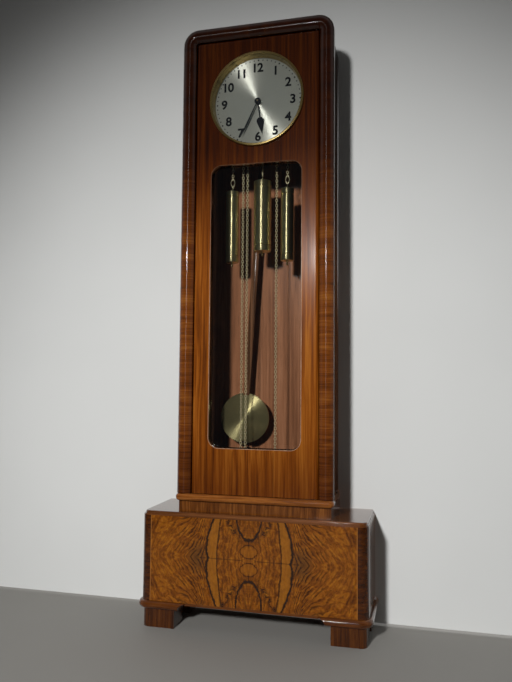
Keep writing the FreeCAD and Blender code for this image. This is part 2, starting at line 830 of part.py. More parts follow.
# Door
def make_door():
    """Hinged door with a round opening for the dial and a tall window."""
    corner = frame_inner_corner - size.door_gap
    body = doc.addObject("PartDesign::Body", "door_blank")
    sketch = new_sketch(body, "door_front_view", "XZ_Plane", -y_door)
    bend = half_door - corner
    z_bend = z_door_top - corner
    shape = Outline(-half_door, z_door).line(half_door, z_door).line(half_door, z_bend)
    shape.arc(bend, z_door_top, corner, (bend, z_bend)).line(-bend, z_door_top)
    shape.arc(-half_door, z_bend, corner, (-bend, z_bend)).close()
    draw(sketch, shape)
    draw_circle(sketch, ZERO, z_dial, size.bezel_bore_radius)
    draw(sketch, window_outline(ZERO))
    slab = pad(body, sketch, size.door_thickness, backwards=True)

    def hinge_edge(edge):
        box = edge.BoundBox
        return near(box.XMin, half_door) and near(box.YMax, y_door) and near(box.ZMin, z_door)

    round_edges(body, slab, hinge_edge, size.door_thickness / 2)
    rebate = new_sketch(body, "door_glass_rebate", "XZ_Plane", -(y_door + size.door_thickness))
    draw(rebate, window_outline(size.glass_rebate_width))
    pocket(body, rebate, size.glass_rebate_depth, backwards=True)
    bore = size.hinge_pin_radius + size.running_clearance
    reach = size.hinge_pin_reach + size.cut_overrun
    lower = rod("door_lower_hinge_hole", bore, reach, hinge_x, hinge_y, z_door - size.cut_overrun, ALONG_Z)
    z_upper = z_door_top - size.hinge_pin_reach
    upper = rod("door_upper_hinge_hole", bore, reach, hinge_x, hinge_y, z_upper, ALONG_Z)
    piece(cut("door_panel", body, lower, upper), "door_panel")


def window_outline(margin):
    """Outline of the window, widened by a margin."""
    half = size.window_width / 2 + margin
    z_low = z_door + size.window_bottom_rail - margin
    z_high = z_dial - size.window_dial_gap + margin
    return box_outline((-half, half), (z_low, z_high), size.window_corner_radius + margin)


def make_glazing():
    """Window glass in its rebate and the bead that holds it from behind."""
    y_glass = y_door + size.door_thickness - size.glass_rebate_depth
    thickness = size.window_glass_thickness
    edge = size.glass_rebate_width
    piece(plate_xz("window_glass", window_outline(edge), y_glass, thickness), "window_glass")
    bead = plate_xz("window_bead", window_outline(edge), y_glass + thickness,
                    size.glass_rebate_depth - thickness, holes=[window_outline(-size.bead_lip)])
    piece(bead, "window_bead")


def make_hinge_pins():
    """The two pins that the door turns on, let into the frame and the trunk's board."""
    reach = size.hinge_pin_reach
    lower = rod("hinge_pin_lower", size.hinge_pin_radius, reach * 2 + size.door_floor_gap - size.rest_gap,
                hinge_x, hinge_y, z_trunk - reach, ALONG_Z)
    top_length = reach * 2 + size.door_gap - size.rest_gap
    upper = rod("hinge_pin_upper", size.hinge_pin_radius, top_length,
                hinge_x, hinge_y, z_door_top - reach + size.rest_gap, ALONG_Z)
    pair = doc.addObject("Part::Compound", "hinge_pins")
    pair.Links = [lower, upper]
    piece(pair, "hinge_pins")


# Dial and hands
def make_bezel():
    """Brass bezel: a lip on the door's face, a groove for the glass and a cone down to the dial."""
    lip_back = size.bezel_lip_depth
    glass_front = size.bezel_lip_edge
    glass_back = glass_front + size.dial_glass_thickness
    tail = size.bezel_lip_depth + size.door_thickness + size.bezel_tail
    shape = Outline(size.bezel_lip_radius, ZERO).line(size.bezel_outer_radius, ZERO)
    shape.line(size.bezel_outer_radius, lip_back).line(size.bezel_bore_radius, lip_back)
    shape.line(size.bezel_bore_radius, tail).line(size.bezel_sight_radius, tail)
    shape.line(size.bezel_throat_radius, glass_back).line(size.dial_glass_radius, glass_back)
    shape.line(size.dial_glass_radius, glass_front).line(size.bezel_lip_radius, glass_front).close()
    y_lip = y_door - size.bezel_lip_depth
    piece(place(turned("dial_bezel", shape), ZERO, y_lip, z_dial, ALONG_Y), "dial_bezel")
    glass = rod("dial_glass", size.dial_glass_radius, size.dial_glass_thickness,
                ZERO, y_lip + glass_front, z_dial)
    piece(glass, "dial_glass")


def make_dial():
    """Dial plate on four feet that stand on the movement's front plate."""
    disc = rod("dial_disc", size.dial_radius, size.dial_thickness, ZERO, y_dial, z_dial)
    feet = []
    y_foot = y_dial + size.dial_thickness
    across = size.dial_foot_circle_radius * cosine(size.dial_foot_angle)
    up = size.dial_foot_circle_radius * sine(size.dial_foot_angle)
    for number, (side, rise) in enumerate(((-1, -1), (1, -1), (-1, 1), (1, 1)), start=1):
        foot = rod(f"dial_foot_{number}", size.dial_foot_radius, y_plate - y_foot,
                   across * side, y_foot, z_dial + up * rise)
        feet.append(foot)
    hole = rod("dial_bore", size.dial_bore_radius, size.dial_thickness + size.cut_overrun * 2,
               ZERO, y_dial - size.cut_overrun, z_dial)
    piece(cut("dial_plate", join("dial_blank", disc, *feet), hole), "dial_plate")


def make_hour_hand():
    """Hour hand: thin stem and a pointed leaf, on the hour pipe."""
    stem = size.hour_hand_stem_width / 2
    wide = size.hour_hand_leaf_width / 2
    middle = size.hour_hand_leaf_place
    reach = size.hour_hand_length - middle
    start = middle - root(wide * wide - stem * stem)
    touch_up = wide * wide / reach
    touch_out = root(wide * wide - touch_up * touch_up)
    shape = Outline(-stem, ZERO).line(stem, ZERO).line(stem, start)
    shape.arc(touch_out, middle + touch_up, wide, (ZERO, middle)).line(ZERO, size.hour_hand_length)
    shape.line(-touch_out, middle + touch_up).arc(-stem, start, wide, (ZERO, middle)).close()
    blade = plate_xz("hour_hand_blade", shape, ZERO, size.hand_thickness)
    hub = rod("hour_hand_hub", size.hand_hub_radius, size.hand_thickness)
    bore = rod("hour_hand_bore", size.hour_pipe_radius, size.hand_thickness + size.cut_overrun * 2,
               y=-size.cut_overrun)
    hand = cut("hour_hand", join("hour_hand_blank", blade, hub), bore)
    y_hand = y_trunk + size.hour_hand_front
    piece(tilt(hand, ZERO, y_hand, z_dial, size.hour_hand_angle), "hour_hand")


def make_minute_hand():
    """Minute hand: a slim needle that swells a little before its tip."""
    root_half = size.minute_hand_root_width / 2
    swell = size.minute_hand_swell_width / 2
    shape = Outline(-root_half, ZERO).line(root_half, ZERO).line(swell, size.minute_hand_swell_at)
    shape.line(ZERO, size.minute_hand_length).line(-swell, size.minute_hand_swell_at).close()
    blade = plate_xz("minute_hand_blade", shape, ZERO, size.hand_thickness)
    hub = rod("minute_hand_hub", size.hand_hub_radius, size.hand_thickness)
    bore = rod("minute_hand_bore", size.cannon_radius, size.hand_thickness + size.cut_overrun * 2,
               y=-size.cut_overrun)
    hand = cut("minute_hand", join("minute_hand_blank", blade, hub), bore)
    y_hand = y_trunk + size.minute_hand_front
    piece(tilt(hand, ZERO, y_hand, z_dial, size.minute_hand_angle), "minute_hand")
    nut = rod("hand_nut_blank", size.hand_nut_radius, size.hand_nut_height,
              ZERO, y_hand - size.hand_nut_height, z_dial)
    bore = rod("hand_nut_bore", size.arbor_radius, size.hand_nut_height + size.cut_overrun * 2,
               ZERO, y_hand - size.hand_nut_height - size.cut_overrun, z_dial)
    piece(cut("hand_nut", nut, bore), "hand_nut")


# Movement
def pitch_radius(module, teeth):
    """Pitch radius of a toothed wheel."""
    return module * teeth / 2


def train_places():
    """Arbor places of the going train in the front view, each a pair of x and z."""
    great_gap = pitch_radius(size.great_module, size.great_teeth + size.centre_pinion_teeth)
    great_drop = root(great_gap * great_gap - size.going_arbor_offset * size.going_arbor_offset)
    great = (-size.going_arbor_offset, z_dial - great_drop)
    escape_drop = (size.escape_radius + size.pallet_clearance / 2) * diagonal
    escape = (ZERO, z_pivot - escape_drop)
    lower = pitch_radius(size.train_module, size.centre_teeth + size.train_pinion_teeth)
    upper = pitch_radius(size.train_module, size.third_teeth + size.train_pinion_teeth)
    span = escape[1] - z_dial
    rise = (lower * lower - upper * upper + span * span) / (span * 2)
    third = (root(lower * lower - rise * rise), z_dial + rise)
    return {"great": great, "third": third, "escape": escape, "centre": (ZERO, z_dial),
            "anchor": (ZERO, z_pivot),
            "left": (-size.left_arbor_offset, z_dial - size.side_arbor_drop),
            "right": (size.right_arbor_offset, z_dial - size.side_arbor_drop)}


def chain_spans():
    """For each train, the x of its left-hand and right-hand chain run."""
    left = -size.left_arbor_offset
    going = -size.going_arbor_offset
    right = size.right_arbor_offset
    side = size.side_sprocket_radius
    middle = size.going_sprocket_radius
    return [("left", left - side, left + side), ("middle", going - middle, going + middle),
            ("right", right - side, right + side)]


def make_plates():
    """Front and back plate of the movement, with pivot holes; the pillars are riveted in the back one."""
    half = size.plate_half_width
    z_high = z_pivot + size.plate_head
    places = train_places()
    pivot = size.pivot_radius + size.running_clearance
    arbor = size.arbor_radius + size.running_clearance
    holes = [(x, z, pivot) for key, (x, z) in places.items() if key not in ("centre", "anchor")]
    front_holes = holes + [(ZERO, z_dial, arbor), (ZERO, z_pivot, pivot)]
    back_holes = holes + [(ZERO, z_dial, pivot), (ZERO, z_pivot, arbor)]
    sheet_outline = box_outline((-half, half), (z_seat, z_high))
    front = plate_xz("plate_front_blank", sheet_outline, y_plate, size.plate_thickness, front_holes)
    stud_x, stud_z = motion_place()
    stud_start = y_trunk + size.hour_wheel_front - size.wheel_thickness
    stud = rod("motion_stud", size.pivot_radius, y_plate - stud_start, stud_x, stud_start, stud_z)
    piece(join("plate_front", front, stud), "plate_front")
    back = plate_xz("plate_back_blank", sheet_outline, y_back_plate, size.plate_thickness, back_holes)
    inset = size.pillar_edge_inset
    pillars = []
    corners = [(x, z) for z in (z_seat + inset, z_high - inset) for x in (inset - half, half - inset)]
    for number, (x, z) in enumerate(corners, start=1):
        pillars.append(rod(f"pillar_{number}", size.pillar_radius, size.plate_spacing, x, y_inner, z))
    piece(join("plate_back", back, *pillars), "plate_back")


def motion_place():
    """Place of the stud that carries the minute wheel."""
    return (ZERO, z_dial - size.motion_distance)


def disc(name, radius, x, y, z):
    """Wheel of the train as a disc of its pitch size, so that meshing wheels stay just clear."""
    return rod(name, radius - size.gear_mesh_gap / 2, size.wheel_thickness, x, y, z)


def pinion(name, module, teeth, length, x, y, z):
    """Small gear as a plain rod of its pitch size."""
    return rod(name, pitch_radius(module, teeth) - size.gear_mesh_gap / 2, length, x, y, z)


def plain_arbor(name, x, z):
    """Thin arbor with both its pivots, from the front plate's face to the back plate's."""
    return rod(name, size.pivot_radius, size.plate_spacing + size.plate_thickness * 2, x, y_plate, z)


def make_escape_disc(x, y, z):
    """Escape wheel with its pointed teeth repeated round the rim."""
    thickness = size.wheel_thickness
    depth = size.escape_tooth_depth
    body = doc.addObject("PartDesign::Body", "escape_disc")
    rim_sketch = new_sketch(body, "escape_rim", "XZ_Plane")
    rim = size.escape_radius - depth
    draw_circle(rim_sketch, ZERO, ZERO, rim)
    pad(body, rim_sketch, thickness, backwards=True)
    tooth_sketch = new_sketch(body, "escape_tooth", "XZ_Plane")
    half = rim * math.pi / size.escape_teeth * size.escape_tooth_share
    sunk = rim - depth / 4
    draw(tooth_sketch, Outline(-half, sunk).line(half, sunk).line(half, size.escape_radius).close())
    tooth = pad(body, tooth_sketch, thickness, backwards=True)
    ring = body.newObject("PartDesign::PolarPattern", "escape_ring")
    ring.Originals = [tooth]
    ring.Axis = (rim_sketch, ["N_Axis"])
    ring.Angle = FULL_TURN
    bind(ring, "Occurrences", size.escape_teeth)
    body.Tip = ring
    doc.recompute()
    return place(body, x, y, z)


def make_going_train():
    """Great, third and escape wheels of the going train."""
    places = train_places()
    thickness = size.wheel_thickness
    y_great = y_trunk + size.great_wheel_front
    y_centre = y_trunk + size.centre_wheel_front
    y_third = y_trunk + size.third_wheel_front
    y_escape = y_trunk + size.escape_wheel_front
    x, z = places["great"]
    wheel = disc("great_disc", pitch_radius(size.great_module, size.great_teeth), x, y_great, z)
    y_core = y_chain - size.sprocket_width
    core = rod("great_core", size.arbor_radius, y_great - y_core, x, y_core, z)
    piece(join("great_wheel", wheel, core, plain_arbor("great_arbor", x, z)), "great_wheel")
    x, z = places["third"]
    wheel = disc("third_disc", pitch_radius(size.train_module, size.third_teeth), x, y_third, z)
    y_pinion = y_centre - thickness
    leaves = pinion("third_pinion", size.train_module, size.train_pinion_teeth, y_third - y_pinion,
                    x, y_pinion, z)
    piece(join("third_wheel", wheel, leaves, plain_arbor("third_arbor", x, z)), "third_wheel")
    x, z = places["escape"]
    y_pinion = y_third - thickness
    leaves = pinion("escape_pinion", size.train_module, size.train_pinion_teeth, y_escape - y_pinion,
                    x, y_pinion, z)
    wheel = make_escape_disc(x, y_escape, z)
    piece(join("escape_wheel", wheel, leaves, plain_arbor("escape_arbor", x, z)), "escape_wheel")


def make_centre_arbor():
    """Centre wheel with its long arbor and the cannon that carries the minute hand."""
    wheel = disc("centre_disc", pitch_radius(size.train_module, size.centre_teeth),
                 ZERO, y_trunk + size.centre_wheel_front, z_dial)
    y_tip = y_trunk + size.minute_hand_front - size.hand_nut_height
    front = rod("centre_arbor_front", size.arbor_radius, y_inner + size.wheel_thickness - y_tip,
                ZERO, y_tip, z_dial)
    rear = rod("centre_arbor_rear", size.pivot_radius, y_back_plate + size.plate_thickness - y_inner,
               ZERO, y_inner, z_dial)
    y_pinion = y_trunk + size.great_wheel_front - size.wheel_thickness
    leaves = pinion("centre_pinion", size.great_module, size.centre_pinion_teeth,
                    size.wheel_thickness * 3, ZERO, y_pinion, z_dial)
    y_cannon = y_trunk + size.minute_hand_front
    cannon = rod("cannon", size.cannon_radius, y_plate - size.rest_gap - y_cannon, ZERO, y_cannon, z_dial)
    piece(join("centre_wheel", wheel, front, rear, leaves, cannon), "centre_wheel")


def make_motion_work():
    """Minute wheel on its stud and hour wheel on its pipe, in front of the plate."""
    distance = size.motion_distance
    first_module = distance * 2 / (size.cannon_teeth + size.minute_wheel_teeth)
    second_module = distance * 2 / (size.minute_pinion_teeth + size.hour_wheel_teeth)
    stud_x, stud_z = motion_place()
    y_minute = y_trunk + size.minute_wheel_front
    y_hour = y_trunk + size.hour_wheel_front
    wheel = disc("minute_disc", pitch_radius(first_module, size.minute_wheel_teeth),
                 stud_x, y_minute, stud_z)
    y_pinion = y_hour - size.rest_gap
    leaves = pinion("minute_pinion", second_module, size.minute_pinion_teeth, y_minute - y_pinion,
                    stud_x, y_pinion, stud_z)
    hole = rod("minute_bore", size.pivot_radius + size.running_clearance, y_plate - y_dial,
               stud_x, y_dial, stud_z)
    piece(cut("minute_wheel", join("minute_wheel_blank", wheel, leaves), hole), "minute_wheel")
    wheel = disc("hour_disc", pitch_radius(second_module, size.hour_wheel_teeth), ZERO, y_hour, z_dial)
    y_pipe = y_trunk + size.hour_hand_front
    pipe = rod("hour_pipe", size.hour_pipe_radius, y_hour + size.wheel_thickness * 2 - y_pipe,
               ZERO, y_pipe, z_dial)
    hole = rod("hour_bore", size.cannon_radius + size.running_clearance, y_plate - y_pipe + size.cut_overrun,
               ZERO, y_pipe - size.cut_overrun, z_dial)
    piece(cut("hour_wheel", join("hour_wheel_blank", wheel, pipe), hole), "hour_wheel")


def sprocket_outline(pitch, bore):
    """Half section of a grooved chain wheel."""
    groove = pitch - size.chain_radius - size.rest_gap
    rim = pitch + size.sprocket_flange
    width = size.sprocket_width
    side = (width - size.sprocket_groove) / 2
    shape = Outline(bore, ZERO).line(rim, ZERO).line(rim, side).line(groove, side)
    shape.line(groove, width - side).line(rim, width - side).line(rim, width).line(bore, width)
    return shape.close()


def make_chain_wheels():
    """Three chain wheels; the middle one rides on the great wheel's arbor."""
    places = train_places()
    y_wheel = y_chain - size.sprocket_width / 2
    for side in ("left", "right"):
        x, z = places[side]
        section = sprocket_outline(size.side_sprocket_radius, size.pivot_radius / 2)
        body = place(turned(f"{side}_sprocket", section), x, y_wheel, z, ALONG_Y)
        piece(join(f"chain_wheel_{side}", body, plain_arbor(f"{side}_arbor", x, z)), f"chain_wheel_{side}")
    x, z = places["great"]
    bore = size.arbor_radius + size.running_clearance
    body = turned("chain_wheel_middle", sprocket_outline(size.going_sprocket_radius, bore))
    piece(place(body, x, y_wheel, z, ALONG_Y), "chain_wheel_middle")


def make_anchor():
    """Anchor over the escape wheel, its arbor and the crutch that reaches to the pendulum."""
    reach = (size.escape_radius + size.pallet_clearance) / diagonal
    drop = (size.escape_radius + size.pallet_clearance / 2) * diagonal - reach
    arm = size.escape_tooth_depth
    shape = Outline(-reach - arm, -drop).line(-reach, -drop).line(-arm, -arm)
    shape.line(arm, -arm).line(reach, -drop).line(reach + arm, -drop)
    shape.line(arm * diagonal, arm).line(-arm * diagonal, arm).close()
    y_anchor = y_trunk + size.escape_wheel_front
    pallets = plate_xz("anchor_pallets", shape, y_anchor - y_pendulum, size.wheel_thickness * 2)
    y_end = y_trunk + size.crutch_plane + size.crutch_width / 2
    pivot = rod("anchor_pivot", size.pivot_radius, size.plate_thickness + size.wheel_thickness,
                y=y_plate - y_pendulum)
    start = y_inner + size.rest_gap
    arbor = rod("anchor_arbor", size.arbor_radius, y_end - start, y=start - y_pendulum)
    half = size.crutch_width / 2
    deep = (y_trunk + size.crutch_plane - y_pendulum, y_end - y_pendulum)
    crutch = block("crutch_arm", (-half, half), deep, (-size.crutch_length - half, half))
    pin_start = y_end - y_pendulum
    pin = rod("crutch_pin", size.crutch_pin_radius, size.rod_thickness / 2 - pin_start, y=pin_start,
              z=-size.crutch_length)
    anchor = join("anchor", pallets, pivot, arbor, crutch, pin)
    piece(tilt(anchor, ZERO, y_pendulum, z_pivot, size.swing_angle), "anchor")


def make_back_cock():
    """Cock on the back plate: a bar with two drilled cheeks that the pendulum hangs from."""
    y_plate_rear = y_back_plate + size.plate_thickness
    half = size.cock_plate_half_width
    z_bar = z_pivot + size.cock_bar_drop
    z_bar_top = z_bar + size.cock_bar_height
    base = block("cock_plate", (-half, half), (y_plate_rear, y_plate_rear + size.cock_plate_thickness),
                 (z_pivot - half, z_bar_top))
    gap = size.cock_cheek_gap / 2
    cheek = size.cock_cheek_thickness
    width = size.cock_half_width
    bar = block("cock_bar", (-width, width), (y_plate_rear, y_pendulum + gap + cheek), (z_bar, z_bar_top))
    front = block("cock_front_cheek", (-width, width), (y_pendulum - gap - cheek, y_pendulum - gap),
                  (z_pivot - width, z_bar))
    rear = block("cock_rear_cheek", (-width, width), (y_pendulum + gap, y_pendulum + gap + cheek),
                 (z_pivot - width, z_bar))
    bore = size.suspension_pin_radius + size.running_clearance
    hole = rod("cock_bore", bore, y_pendulum + gap + cheek * 2 - y_plate_rear - size.cock_plate_thickness,
               ZERO, y_plate_rear + size.cock_plate_thickness, z_pivot)
    through = size.cock_plate_thickness + size.cut_overrun * 2
    arbor_hole = rod("cock_arbor_hole", size.arbor_radius * 2, through,
                     ZERO, y_plate_rear - size.cut_overrun, z_pivot)
    piece(cut("back_cock", join("cock_blank", base, bar, front, rear), hole, arbor_hole), "back_cock")


# Pendulum, drawn hanging from its pivot and then swung
def make_pendulum():
    """Suspension, rod, bob and rating nut, all turned together about the pivot."""
    half_pin = size.suspension_pin_length / 2
    half_spring = size.spring_width / 2
    thin = size.spring_thickness / 2
    spring_end = -size.spring_length
    pin = rod("suspension_pin", size.suspension_pin_radius, size.suspension_pin_length, y=-half_pin)
    strip = block("suspension_strip", (-thin, thin), (-half_spring, half_spring), (spring_end, ZERO))
    clamp_end = spring_end - size.spring_clamp_height
    across = (-half_spring, half_spring)
    clamp = block("suspension_clamp", across, across, (clamp_end, spring_end))
    spring = join("suspension_spring", pin, strip, clamp)
    piece(swung(spring), "suspension_spring")
    half_width = size.rod_width / 2
    half_depth = size.rod_thickness / 2
    rod_end = -pendulum_length - size.bob_radius + size.rod_tail
    stick = block("rod_blank", (-half_width, half_width), (-half_depth, half_depth), (rod_end, clamp_end))
    slot_half = size.crutch_pin_radius + size.running_clearance
    deep = (-half_depth - size.cut_overrun, half_depth + size.cut_overrun)
    slot = block("rod_slot", (-slot_half, slot_half), deep,
                 (-size.crutch_length - slot_half * 4, slot_half * 4 - size.crutch_length))
    thread = rod("rod_thread", size.rod_thread_radius, size.rod_thread_length,
                 z=rod_end - size.rod_thread_length, along=ALONG_Z)
    piece(swung(join("pendulum_rod", cut("rod_slotted", stick, slot), thread)), "pendulum_rod")
    make_bob(rod_end)


def make_bob(rod_end):
    """Lens-shaped brass bob with a channel for the rod, and the nut that it rests on."""
    radius = size.bob_radius
    half_edge = size.bob_edge_thickness / 2
    half_thick = size.bob_thickness / 2
    rise = half_thick - half_edge
    dome = (radius * radius + rise * rise) / (rise * 2)
    rings = []
    for ring_share in bob_ring_shares:
        out = radius * ring_share
        rings.append((out, half_thick - dome + root(dome * dome - out * out)))
    shape = Outline(ZERO, -half_thick)
    for out, depth in rings:
        shape.line(out, -depth)
    shape.line(radius, -half_edge).line(radius, half_edge)
    for out, depth in reversed(rings):
        shape.line(out, depth)
    shape.line(ZERO, half_thick).close()
    lens = place(turned("bob_lens", shape), ZERO, ZERO, -pendulum_length, ALONG_Y)
    half_width = size.rod_width / 2
    half_depth = size.rod_thickness / 2
    reach = radius + size.cut_overrun
    channel = block("bob_channel", (-half_width, half_width), (-half_depth, half_thick + size.cut_overrun),
                    (-pendulum_length - reach, reach - pendulum_length))
    piece(swung(cut("pendulum_bob", lens, channel)), "pendulum_bob")
    nut_top = -pendulum_length - radius
    nut_blank = rod("nut_blank", size.nut_radius, size.nut_height, z=nut_top - size.nut_height,
                    along=ALONG_Z)
    nut_bore = rod("nut_bore", size.rod_thread_radius, size.nut_height + size.cut_overrun * 2,
                   z=nut_top - size.nut_height - size.cut_overrun, along=ALONG_Z)
    piece(swung(cut("rating_nut", nut_blank, nut_bore)), "rating_nut")


def swung(obj):
    """Hangs a pendulum piece from the pivot at the photographed swing."""
    return tilt(obj, ZERO, y_pendulum, z_pivot, size.swing_angle)


# Weights and chains
def weight_outline(radius, length):
    """Half section of a weight: a plain tube with shouldered ends and a small tip underneath."""
    soft = size.weight_shoulder
    tip = size.weight_tip_radius
    stem = size.hook_stem_radius
    shape = Outline(ZERO, -size.weight_tip_length).line(tip, soft - size.weight_tip_length)
    shape.line(tip, ZERO).line(radius - soft, ZERO).line(radius, soft).line(radius, length - soft)
    shape.line(radius - soft, length).line(stem, length).line(stem, length + size.hook_stem_length)
    return shape.line(ZERO, length + size.hook_stem_length).close()


def make_weight(side, x, z_hook_top, radius, length, edge_on):
    """One weight that hangs from its wire hook; the hook's top is the end of the chain."""
    wire = size.hook_wire
    z_hook = z_hook_top - size.hook_height
    bottom = z_hook + wire / 2 - size.hook_stem_length - length
    shell = place(turned(f"{side}_weight_shell", weight_outline(radius, length)), x, y_chain, bottom)
    half = size.hook_width / 2
    half_height = size.hook_height / 2
    slope = root(half * half + half_height * half_height)
    inner_half = half - wire * slope / half_height
    inner_height = half_height - wire * slope / half
    ring = Outline(ZERO, ZERO).line(half, half_height).line(ZERO, half_height * 2)
    ring.line(-half, half_height).close()
    gap = Outline(ZERO, half_height - inner_height).line(inner_half, half_height)
    gap.line(ZERO, half_height + inner_height).line(-inner_half, half_height).close()
    loop = plate_xz(f"{side}_hook_loop", ring, -wire / 2, wire, [gap])
    place(loop, x, y_chain, z_hook, SIDEWAYS if edge_on else ALONG_Z)
    piece(join(f"weight_{side}", shell, loop), f"weight_{side}")


def make_weights():
    """Three weights, their loaded chain runs and the free runs with an end ring."""
    places = train_places()
    side_weight = (size.side_chain_length, size.side_weight_radius, size.side_weight_length)
    middle_weight = (size.middle_chain_length, size.middle_weight_radius, size.middle_weight_length)
    arbors = {"left": "left", "middle": "great", "right": "right"}
    wire = size.hook_wire
    ring_outer = size.chain_ring_radius
    z_end = z_trunk + size.chain_end_rise
    for side, low, high in chain_spans():
        drop, radius, length = middle_weight if side == "middle" else side_weight
        x_loaded, x_free = (low, high) if side == "left" else (high, low)
        z_wheel = places[arbors[side]][1]
        z_hook_top = z_wheel - drop
        make_weight(side, x_loaded, z_hook_top, radius, length, side == "middle")
        run = rod(f"chain_loaded_{side}", size.chain_radius, drop, x_loaded, y_chain, z_hook_top, ALONG_Z)
        piece(run, f"chain_loaded_{side}")
        free = rod(f"{side}_free_run", size.chain_radius, z_wheel - z_end, x_free, y_chain, z_end, ALONG_Z)
        z_ring = z_end - ring_outer + wire / 2
        rim = rod(f"{side}_ring_rim", ring_outer, wire, x_free, y_chain - wire / 2, z_ring)
        eye = rod(f"{side}_ring_eye", ring_outer - wire, wire + size.cut_overrun * 2,
                  x_free, y_chain - wire / 2 - size.cut_overrun, z_ring)
        piece(join(f"chain_free_{side}", free, cut(f"{side}_end_ring", rim, eye)), f"chain_free_{side}")


def check(items):
    """Stops where the document has a failed object or a sub-part without a good solid."""
    doc.recompute()
    for obj in doc.Objects:
        if "Invalid" in obj.State or "Error" in obj.State:
            raise RuntimeError(f"{obj.Name} failed: {obj.State}")
    for obj in items:
        if obj.Shape.isNull() or not obj.Shape.isValid() or obj.Shape.Volume <= 0:
            raise RuntimeError(f"{obj.Label} has no good solid")


def export(items, folder="parts"):
    """Writes each sub-part to its own file."""
    os.makedirs(folder, exist_ok=True)
    for obj in items:
        obj.Shape.exportStep(os.path.join(folder, f"{obj.Label}.step"))
        box = obj.Shape.BoundBox
        print(f"{obj.Label}: {len(obj.Shape.Solids)} solid, volume {obj.Shape.Volume:.0f}, "
              f"x {box.XMin:.1f} {box.XMax:.1f}, y {box.YMin:.1f} {box.YMax:.1f}, "
              f"z {box.ZMin:.1f} {box.ZMax:.1f}")


make_base()
make_base_top()
make_plinth_moulding("left", -1)
make_plinth_moulding("right", 1)
make_base_bottom()
make_feet()
make_trunk_foot()
make_carcass()
make_front_frame()
make_seatboard()
make_hinge_pins()
make_door()
make_glazing()
make_bezel()
make_dial()
make_hour_hand()
make_minute_hand()
make_plates()
make_chain_wheels()
make_going_train()
make_centre_arbor()
make_motion_work()
make_anchor()
make_back_cock()
make_pendulum()
make_weights()
check(pieces)
export(pieces)
print(len(pieces), "sub-parts")
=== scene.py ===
"""Longcase clock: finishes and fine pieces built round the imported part, in metres and in its frame."""
import json
import logging
import math
from collections.abc import Callable, Sequence
from dataclasses import dataclass, field
from enum import Enum

import bpy
from mathutils import Matrix, Vector


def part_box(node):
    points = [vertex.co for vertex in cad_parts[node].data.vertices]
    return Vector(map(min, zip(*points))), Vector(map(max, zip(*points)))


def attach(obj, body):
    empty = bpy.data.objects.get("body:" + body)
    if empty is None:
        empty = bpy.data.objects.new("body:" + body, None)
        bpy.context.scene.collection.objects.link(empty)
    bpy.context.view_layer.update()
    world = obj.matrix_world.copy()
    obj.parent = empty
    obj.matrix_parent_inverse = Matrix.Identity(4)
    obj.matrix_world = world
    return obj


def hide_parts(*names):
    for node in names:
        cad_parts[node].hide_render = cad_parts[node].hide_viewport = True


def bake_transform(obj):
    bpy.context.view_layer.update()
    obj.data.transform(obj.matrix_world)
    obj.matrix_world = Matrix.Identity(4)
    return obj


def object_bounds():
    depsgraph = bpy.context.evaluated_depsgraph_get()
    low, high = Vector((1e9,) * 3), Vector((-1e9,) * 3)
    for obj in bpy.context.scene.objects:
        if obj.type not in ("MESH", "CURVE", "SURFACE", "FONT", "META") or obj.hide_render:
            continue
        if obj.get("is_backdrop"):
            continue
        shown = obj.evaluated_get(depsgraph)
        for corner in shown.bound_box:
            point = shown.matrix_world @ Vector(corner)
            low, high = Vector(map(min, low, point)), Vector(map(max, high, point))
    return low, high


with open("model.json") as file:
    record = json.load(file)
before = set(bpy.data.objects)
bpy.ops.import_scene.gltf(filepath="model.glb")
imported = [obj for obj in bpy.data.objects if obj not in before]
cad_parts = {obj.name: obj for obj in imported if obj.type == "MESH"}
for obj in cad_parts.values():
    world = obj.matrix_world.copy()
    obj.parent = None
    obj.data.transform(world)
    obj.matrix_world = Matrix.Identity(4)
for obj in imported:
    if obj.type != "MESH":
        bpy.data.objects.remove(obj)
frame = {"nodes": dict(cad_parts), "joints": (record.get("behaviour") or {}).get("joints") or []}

log = logging.getLogger("longcase_clock")

Piece = bpy.types.Object
Material = bpy.types.Material
Socket = bpy.types.NodeSocket
Colour = tuple[float, float, float]
Span = tuple[float, float]
Place = tuple[float, float, float]

MM = 0.001
SMOOTH_ANGLE = math.radians(32)
QUARTER_TURN = math.pi / 2
FULL_TURN = 2 * math.pi
SEAM_REACH = 0.01 * MM
POINTS_IN_A_TOOTH = 4


class Grain(Enum):
    """Axis that a veneer's grain runs along."""

    ACROSS = 0
    UP = 2


class Side(Enum):
    """The three trains, from left to right as one faces the clock."""

    LEFT = "left"
    MIDDLE = "middle"
    RIGHT = "right"


# Bench work
def deselect() -> None:
    """Leaves nothing selected, so that an operator acts on its own piece alone."""
    if bpy.context.object is not None and bpy.context.object.mode != "OBJECT":
        bpy.ops.object.mode_set(mode="OBJECT")
    bpy.ops.object.select_all(action="DESELECT")


def pick(*objects: Piece) -> Piece:
    """Selects some pieces and makes the first one active.

    Args:
        objects: The pieces.

    Returns:
        The active one.
    """
    deselect()
    for obj in objects:
        obj.select_set(True)
    bpy.context.view_layer.objects.active = objects[0]
    return objects[0]


def start(primitive: Callable[..., object], **sizes: object) -> Piece:
    """Adds a primitive, with nothing else selected.

    Args:
        primitive: The operator that adds it.
        sizes: The operator's settings.

    Returns:
        The new piece.
    """
    deselect()
    primitive(**sizes)
    return bpy.context.object


